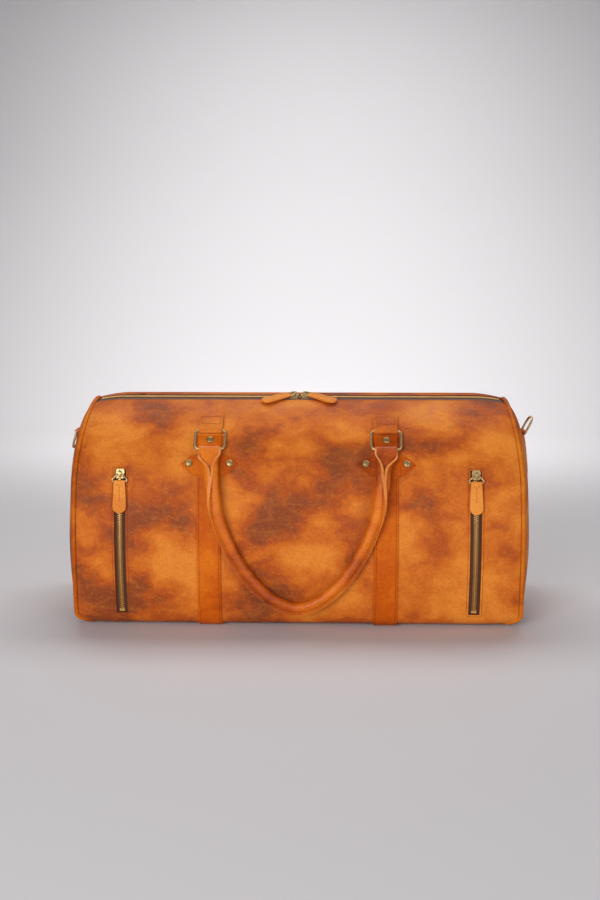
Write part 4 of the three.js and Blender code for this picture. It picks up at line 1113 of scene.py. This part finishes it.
def pocket_zip(name, side):
    """A pocket's closed zip with its bottom stop, its tape, and the cloth pocket behind it."""
    middle = side * POCKET_X
    s = np.arange(s_at(POCKET_LOW + 0.5), s_at(POCKET_HIGH - 0.6), TOOTH_PITCH)
    chain = Mesh()
    teeth(chain, *zip_frame(np.full(len(s), middle), s, -1.0))
    plate_on_wrap(chain, middle, 6.6, np.linspace(s[0] - 0.4, s[0] + 3.2, 4), -1.9, 0.1)
    metals = [TEETH_BRASS, TEETH_BRASS]
    chain.build(f"pocket_{name}_chain", ROOT, metals, [f"pocket_{name}_teeth"])
    rows = wrap_rows(s_at(POCKET_LOW - 0.4), s_at(POCKET_HIGH + 1.5), 4)[:, None]
    dx = np.linspace(-13, 13, 27)
    bead = 0.8 * np.exp(-(((np.abs(dx) - 3.4) / 0.9) ** 2))
    tape = Mesh()
    under = -LEATHER - GAP - POCKET_TAPE
    shell(tape, on_wrap(middle + dx, rows, bead - LEATHER - GAP), on_wrap(middle + dx, rows, under))
    tape.build(f"pocket_{name}_tape_weave", ROOT, [TAPE, TAPE], [f"pocket_{name}_tape"])
    x = side * (POCKET_X - 8) + np.linspace(-44, 44, 30)
    puff = 1.6 * np.outer(np.sin(np.linspace(0, math.pi, len(rows))), np.sin(np.linspace(0, math.pi, 30)))
    pouch = Mesh()
    shell(pouch, on_wrap(x, rows, under - GAP), on_wrap(x, rows, under - GAP - 0.6 - puff))
    pouch.build(f"pocket_{name}_pouch", ROOT, [CLOTH, CLOTH], [f"pocket_{name}_bag"])


def window_stitches(threads, side):
    """The seam round a pocket window."""
    low, high = float(s_at(POCKET_LOW)), float(s_at(POCKET_HIGH))
    out = POCKET_HALF + 2.4
    for edge in (-1, 1):
        s = np.linspace(low - 2, high + 2.4, 80)
        stitch_on_wrap(threads, side * POCKET_X + edge * out, s, 0, SHORT_STITCH)
    for level in (low - 2.4, high + 2.4):
        stitch_on_wrap(threads, side * POCKET_X + np.linspace(-out, out, 12), level, 0, SHORT_STITCH)


# ---------------------------------------------------------------- sliders and pulls


def hung_frame(x, s, along, yaw, dip):
    """The turn and the pivot of a pull that hangs from a slider on the wrap: along is towards the pull."""
    up = wrap_out(np.array(s))
    origin = np.array([x, np.interp(s, S, SECTION_Y), np.interp(s, S, SECTION_Z)])
    slider = Matrix(np.stack([along, np.cross(up, along), up], 1).tolist()).to_4x4()
    hung = Matrix.Rotation(rad(yaw), 4, "Z") @ Matrix.Rotation(rad(dip), 4, "Y")
    pivot = slider @ Vector((PIVOT_ALONG, 0, PIVOT_UP))
    return np.array(slider @ hung)[:3, :3], origin + np.array(pivot)


def pull_outline(inset):
    """A teardrop with a straight neck: x runs from the link to the round end."""
    middle = PULL_LONG - PULL_WIDE / 2
    turns = np.radians(np.linspace(-80, 80, 20))
    r = PULL_WIDE / 2 - inset
    tip = np.stack([middle + r * np.cos(turns), r * np.sin(turns)], -1)
    neck = PULL_NECK / 2 - inset
    foot = -1.6 + inset * 0.6
    lower = np.stack([np.linspace(foot, tip[0, 0], 9)[:-1], -np.linspace(neck, -tip[0, 1], 9)[:-1]], -1)
    upper = lower[::-1] * [1, -1]
    outline = np.concatenate([lower, tip, upper])
    for _ in range(3):
        outline[1:-1] = outline[1:-1] * 0.5 + (outline[2:] + outline[:-2]) * 0.25
    return outline


def pull(name, x, s, along, yaw, dip, tilt):
    """The wire link and the leather pull folded over it."""
    turn, pivot = hung_frame(x, s, along, yaw, dip)
    body = f"{name}_pull_body"
    outline = rounded_outline(8, PULL_NECK + 5, PULL_REACH, 1.6, 2.2, 7)
    path = np.stack([outline[:, 1], outline[:, 0], np.zeros(len(outline))], -1)
    link = Mesh()
    wire_path(link, pivot + path @ turn.T, turn[:, 2], LINK_WIRE, 12)
    link.build(f"{name}_link", body, [BRASS], [f"{name}_puller"])
    tilted = np.array(Matrix.Rotation(rad(tilt), 3, "Y"))

    def placed(points):
        return pivot + (np.asarray(points, float) @ tilted.T + [PULL_REACH, 0, 0]) @ turn.T

    half = PULL_THICK / 2
    levels = [(half, 1.0), (half - 0.12, 0.5), (half - 0.5, 0.12), (0.35, 0.0), (0.08, 0.22)]
    levels = [(-z, inset) for z, inset in levels] + levels[::-1]
    sections = [placed(np.insert(pull_outline(inset), 2, z, axis=1)) for z, inset in levels]
    leather_pull = Mesh()
    tube(leather_pull, sections)
    leather_pull.build(f"{name}_pull_leather", body, [PALE_HIDE], [f"{name}_pull_tab"])
    threads = Mesh()
    seam = PULL_NECK / 2 - 2.2
    for face in (-1, 1):
        z = face * half
        out = np.tile(turn @ tilted @ np.array([0, 0, face]), (2, 1))
        stitch(threads, placed([[5.5, 0, z], [PULL_LONG * 0.62, 0, z]]), out, 2.8, 0.34)
        stitch(threads, placed([[4.5, -seam, z], [4.5, seam, z]]), out, 2.6, 0.3)
    threads.build(f"{name}_pull_stitches", body, [THREAD])


def pulls():
    """The main pulls lie outwards along the zip, turned to the front, and the pocket pulls hang down."""
    s = float(s_at(POCKET_SLIDER))
    ny, nz = section_normal(s)
    for name, side in SIDES:
        pull(f"main_{name}", side * MAIN_SLIDER_X, S_MOUTH, [side, 0, 0], -side * MAIN_YAW, MAIN_DIP, 0)
        pull(f"pocket_{name}", side * POCKET_X, s, [0, -nz, ny], 0, POCKET_DIP, PULL_TILT)


# ---------------------------------------------------------------- end rings


def end_bar(side):
    """The bar that an end ring turns on, from the CAD joint."""
    name = "right" if side > 0 else "left"
    joint = next(j for j in frame["joints"] if j["name"] == f"{name}_end_ring_swing")
    return np.array(joint["pos_m"]) / MM


def end_tab(name, side, threads):
    """The folded tab that an end ring turns in, down the middle of the end panel, sewn all round."""
    steps = 16
    z = np.linspace(END_BAR_Z, END_TAB_LOW, steps)
    x = end_surface(np.zeros(steps), z) + 0.5
    slope = -np.gradient(x, z)
    line = np.stack([side * x, np.zeros(steps), z], -1)
    normals = unit(np.stack([np.full(steps, side), np.zeros(steps), slope], -1))
    mesh = Mesh()
    folded_tab(mesh, line, normals, [0, 1, 0], END_TAB_W, end_bar(side), END_TAB_PLY)
    mesh.build(f"{name}_end_tab_leather", ROOT, [STRAP_HIDE, EDGE], [f"{name}_end_tab"])
    half = END_TAB_W / 2 - SEWN_IN
    face = line + normals * (2 * END_TAB_PLY + PLY_GAP + 0.05)
    for edge in (-1, 1):
        stitch(threads, face[3:-1] + [0, edge * half, 0], normals[3:-1], SHORT_STITCH)
    for row in (3, -2):
        ends = [face[row] - [0, half, 0], face[row] + [0, half, 0]]
        stitch(threads, ends, [normals[row]] * 2, SHORT_STITCH)


def end_ring(name, side, angle):
    """A D-ring, leaning out from upright by an angle."""
    along = np.array([side * math.sin(rad(angle)), 0, math.cos(rad(angle))])
    size, corners = (END_RING_W, END_RING_H), (2, END_RING_CORNER)
    ring_wire(f"{name}_end_ring", end_bar(side), [0, 1, 0], along, size, corners, 9)


# ---------------------------------------------------------------- seams


def body_stitches(threads):
    """The seams along both sides of the main zip and of the base."""
    base_seam = BASE_EDGE - BASE_SEAM_Y - 3
    seams = [
        (S_MOUTH_FRONT - 3, 160, STITCH_PITCH),
        (S_MOUTH_BACK + 3, 160, STITCH_PITCH),
        (-base_seam, 80, LONG_STITCH),
        (S_END + base_seam, 80, LONG_STITCH),
    ]
    for s, steps, pitch in seams:
        reach = float(reach_at(s)) - 8
        stitch_on_wrap(threads, np.linspace(-reach, reach, steps), s, 0, pitch)


# ---------------------------------------------------------------- the bag

ANCHORS = [
    ("front_left", -STRAP_X, 1),
    ("front_right", STRAP_X, 1),
    ("back_left", -STRAP_X, -1),
    ("back_right", STRAP_X, -1),
]


def build_bag():
    seam = -(BASE_EDGE - BASE_SEAM_Y)
    leather_panel("front_leather", "front_panel", seam, S_MOUTH_FRONT, windows=True)
    leather_panel("back_leather", "back_panel", S_MOUTH_BACK, S_END - seam)
    leather_panel("base_leather", "base_panel", -2 * BASE_EDGE - seam + 0.5, seam - 0.5)
    for name, side in SIDES:
        end_panel(name, side)
        piping(name, side)
    threads = Mesh()
    straps(threads)
    body_stitches(threads)
    for anchor, x, side in ANCHORS:
        wing(anchor, x, side, threads)
        rivets(anchor, x, side)
        handle_ring(anchor, x, side)
        ring_tab(anchor, x, side, threads)
    for name, side in SIDES:
        end_tab(name, side, threads)
        window_stitches(threads, side)
        pocket_zip(name, side)
    end_ring("right", 1, END_RING_RIGHT_LEAN)
    end_ring("left", -1, END_RING_LEFT_LEAN)
    threads.build("body_stitches", ROOT, [THREAD])
    main_zip()
    pulls()
    handle("front", 1)
    handle("back", -1)


def finish_cad_node(node, material, bevel=0.0):
    """A CAD node that keeps its shape gets a material, and its edges rounded."""
    obj = frame["nodes"][node]
    obj.data.materials.clear()
    obj.data.materials.append(material)
    if bevel:
        rounding = obj.modifiers.new("rounded edges", "BEVEL")
        rounding.width = bevel * MM
        rounding.segments = 3
        rounding.limit_method = "ANGLE"
        rounding.angle_limit = rad(25)


def dress_cad_nodes():
    for name in ("main_left", "main_right", "pocket_left", "pocket_right"):
        finish_cad_node(f"{name}_slider", BRASS, 0.35)
    finish_cad_node("lining", CLOTH)
    finish_cad_node("base_board", BOARD, 0.5)


# ---------------------------------------------------------------- studio, in metres

STUDIO_REACH, SWEEP_Y, SWEEP_R, BACKDROP_TOP = 6.0, 1.6, 1.2, 5.0
CAMERA_PLACE = (0.0424, -1.6191, 0.4548)
CAMERA_PITCH, CAMERA_TURN, CAMERA_LENS = 8.755, 1.5, 50.05


def studio():
    """A pale floor that sweeps up into the backdrop."""
    sweep = [
        (SWEEP_Y + SWEEP_R * math.sin(t), SWEEP_R * (1 - math.cos(t)))
        for t in np.linspace(0.1, math.pi / 2, 14)
    ]
    profile = [(-STUDIO_REACH, 0.0), (SWEEP_Y, 0.0), *sweep, (SWEEP_Y + SWEEP_R, BACKDROP_TOP)]
    points = [(x, y, z) for y, z in profile for x in (-STUDIO_REACH, STUDIO_REACH)]
    floor = bpy.data.meshes.new("floor")
    floor.from_pydata(points, [], [[2 * i, 2 * i + 1, 2 * i + 3, 2 * i + 2] for i in range(len(profile) - 1)])
    floor.polygons.foreach_set("use_smooth", [True] * len(floor.polygons))
    obj = bpy.data.objects.new("floor", floor)
    bpy.context.scene.collection.objects.link(obj)
    floor.materials.append(Nodes("studio_floor").finish(Base_Color=srgb(212, 209, 211), Roughness=0.7))


def camera():
    data = bpy.data.cameras.new("camera")
    data.lens = CAMERA_LENS
    data.sensor_width = 36
    obj = bpy.data.objects.new("camera", data)
    obj.location = CAMERA_PLACE
    obj.rotation_euler = (rad(90 - CAMERA_PITCH), 0, rad(CAMERA_TURN))
    bpy.context.scene.collection.objects.link(obj)
    bpy.context.scene.camera = obj


def area_light(name, place, target, size, power):
    data = bpy.data.lights.new(name, "AREA")
    data.shape = "RECTANGLE"
    data.size, data.size_y = size
    add_light(name, data, place, target, power)


def spot_light(name, place, target, cone, softness, power):
    data = bpy.data.lights.new(name, "SPOT")
    data.spot_size = rad(cone)
    data.spot_blend = 1.0
    data.shadow_soft_size = softness
    add_light(name, data, place, target, power)


def add_light(name, data, place, target, power):
    data.energy = power
    obj = bpy.data.objects.new(name, data)
    obj.location = place
    obj.rotation_euler = (Vector(target) - Vector(place)).to_track_quat("-Z", "Y").to_euler()
    bpy.context.scene.collection.objects.link(obj)


def lights():
    area_light("key", (-0.9, -2.4, 0.85), (0, 0, 0.25), (1.3, 0.9), 40)
    area_light("fill", (1.6, -2.0, 0.5), (0, 0, 0.25), (1.2, 0.8), 15)
    area_light("top", (0, 0.6, 1.6), (0, 0, 0.1), (1.6, 0.7), 17)
    spot_light("backdrop glow", (0, 0.7, 1.5), (0, 2.3, 0.1), 104, 0.4, 165)
    world = bpy.context.scene.world or bpy.data.worlds.new("world")
    bpy.context.scene.world = world
    world.use_nodes = True
    background = world.node_tree.nodes["Background"]
    background.inputs["Color"].default_value = (0.95, 0.96, 1, 1)
    background.inputs["Strength"].default_value = 0.14
    bpy.context.scene.view_settings.view_transform = "Standard"


camera()
build_bag()
dress_cad_nodes()
studio()
lights()
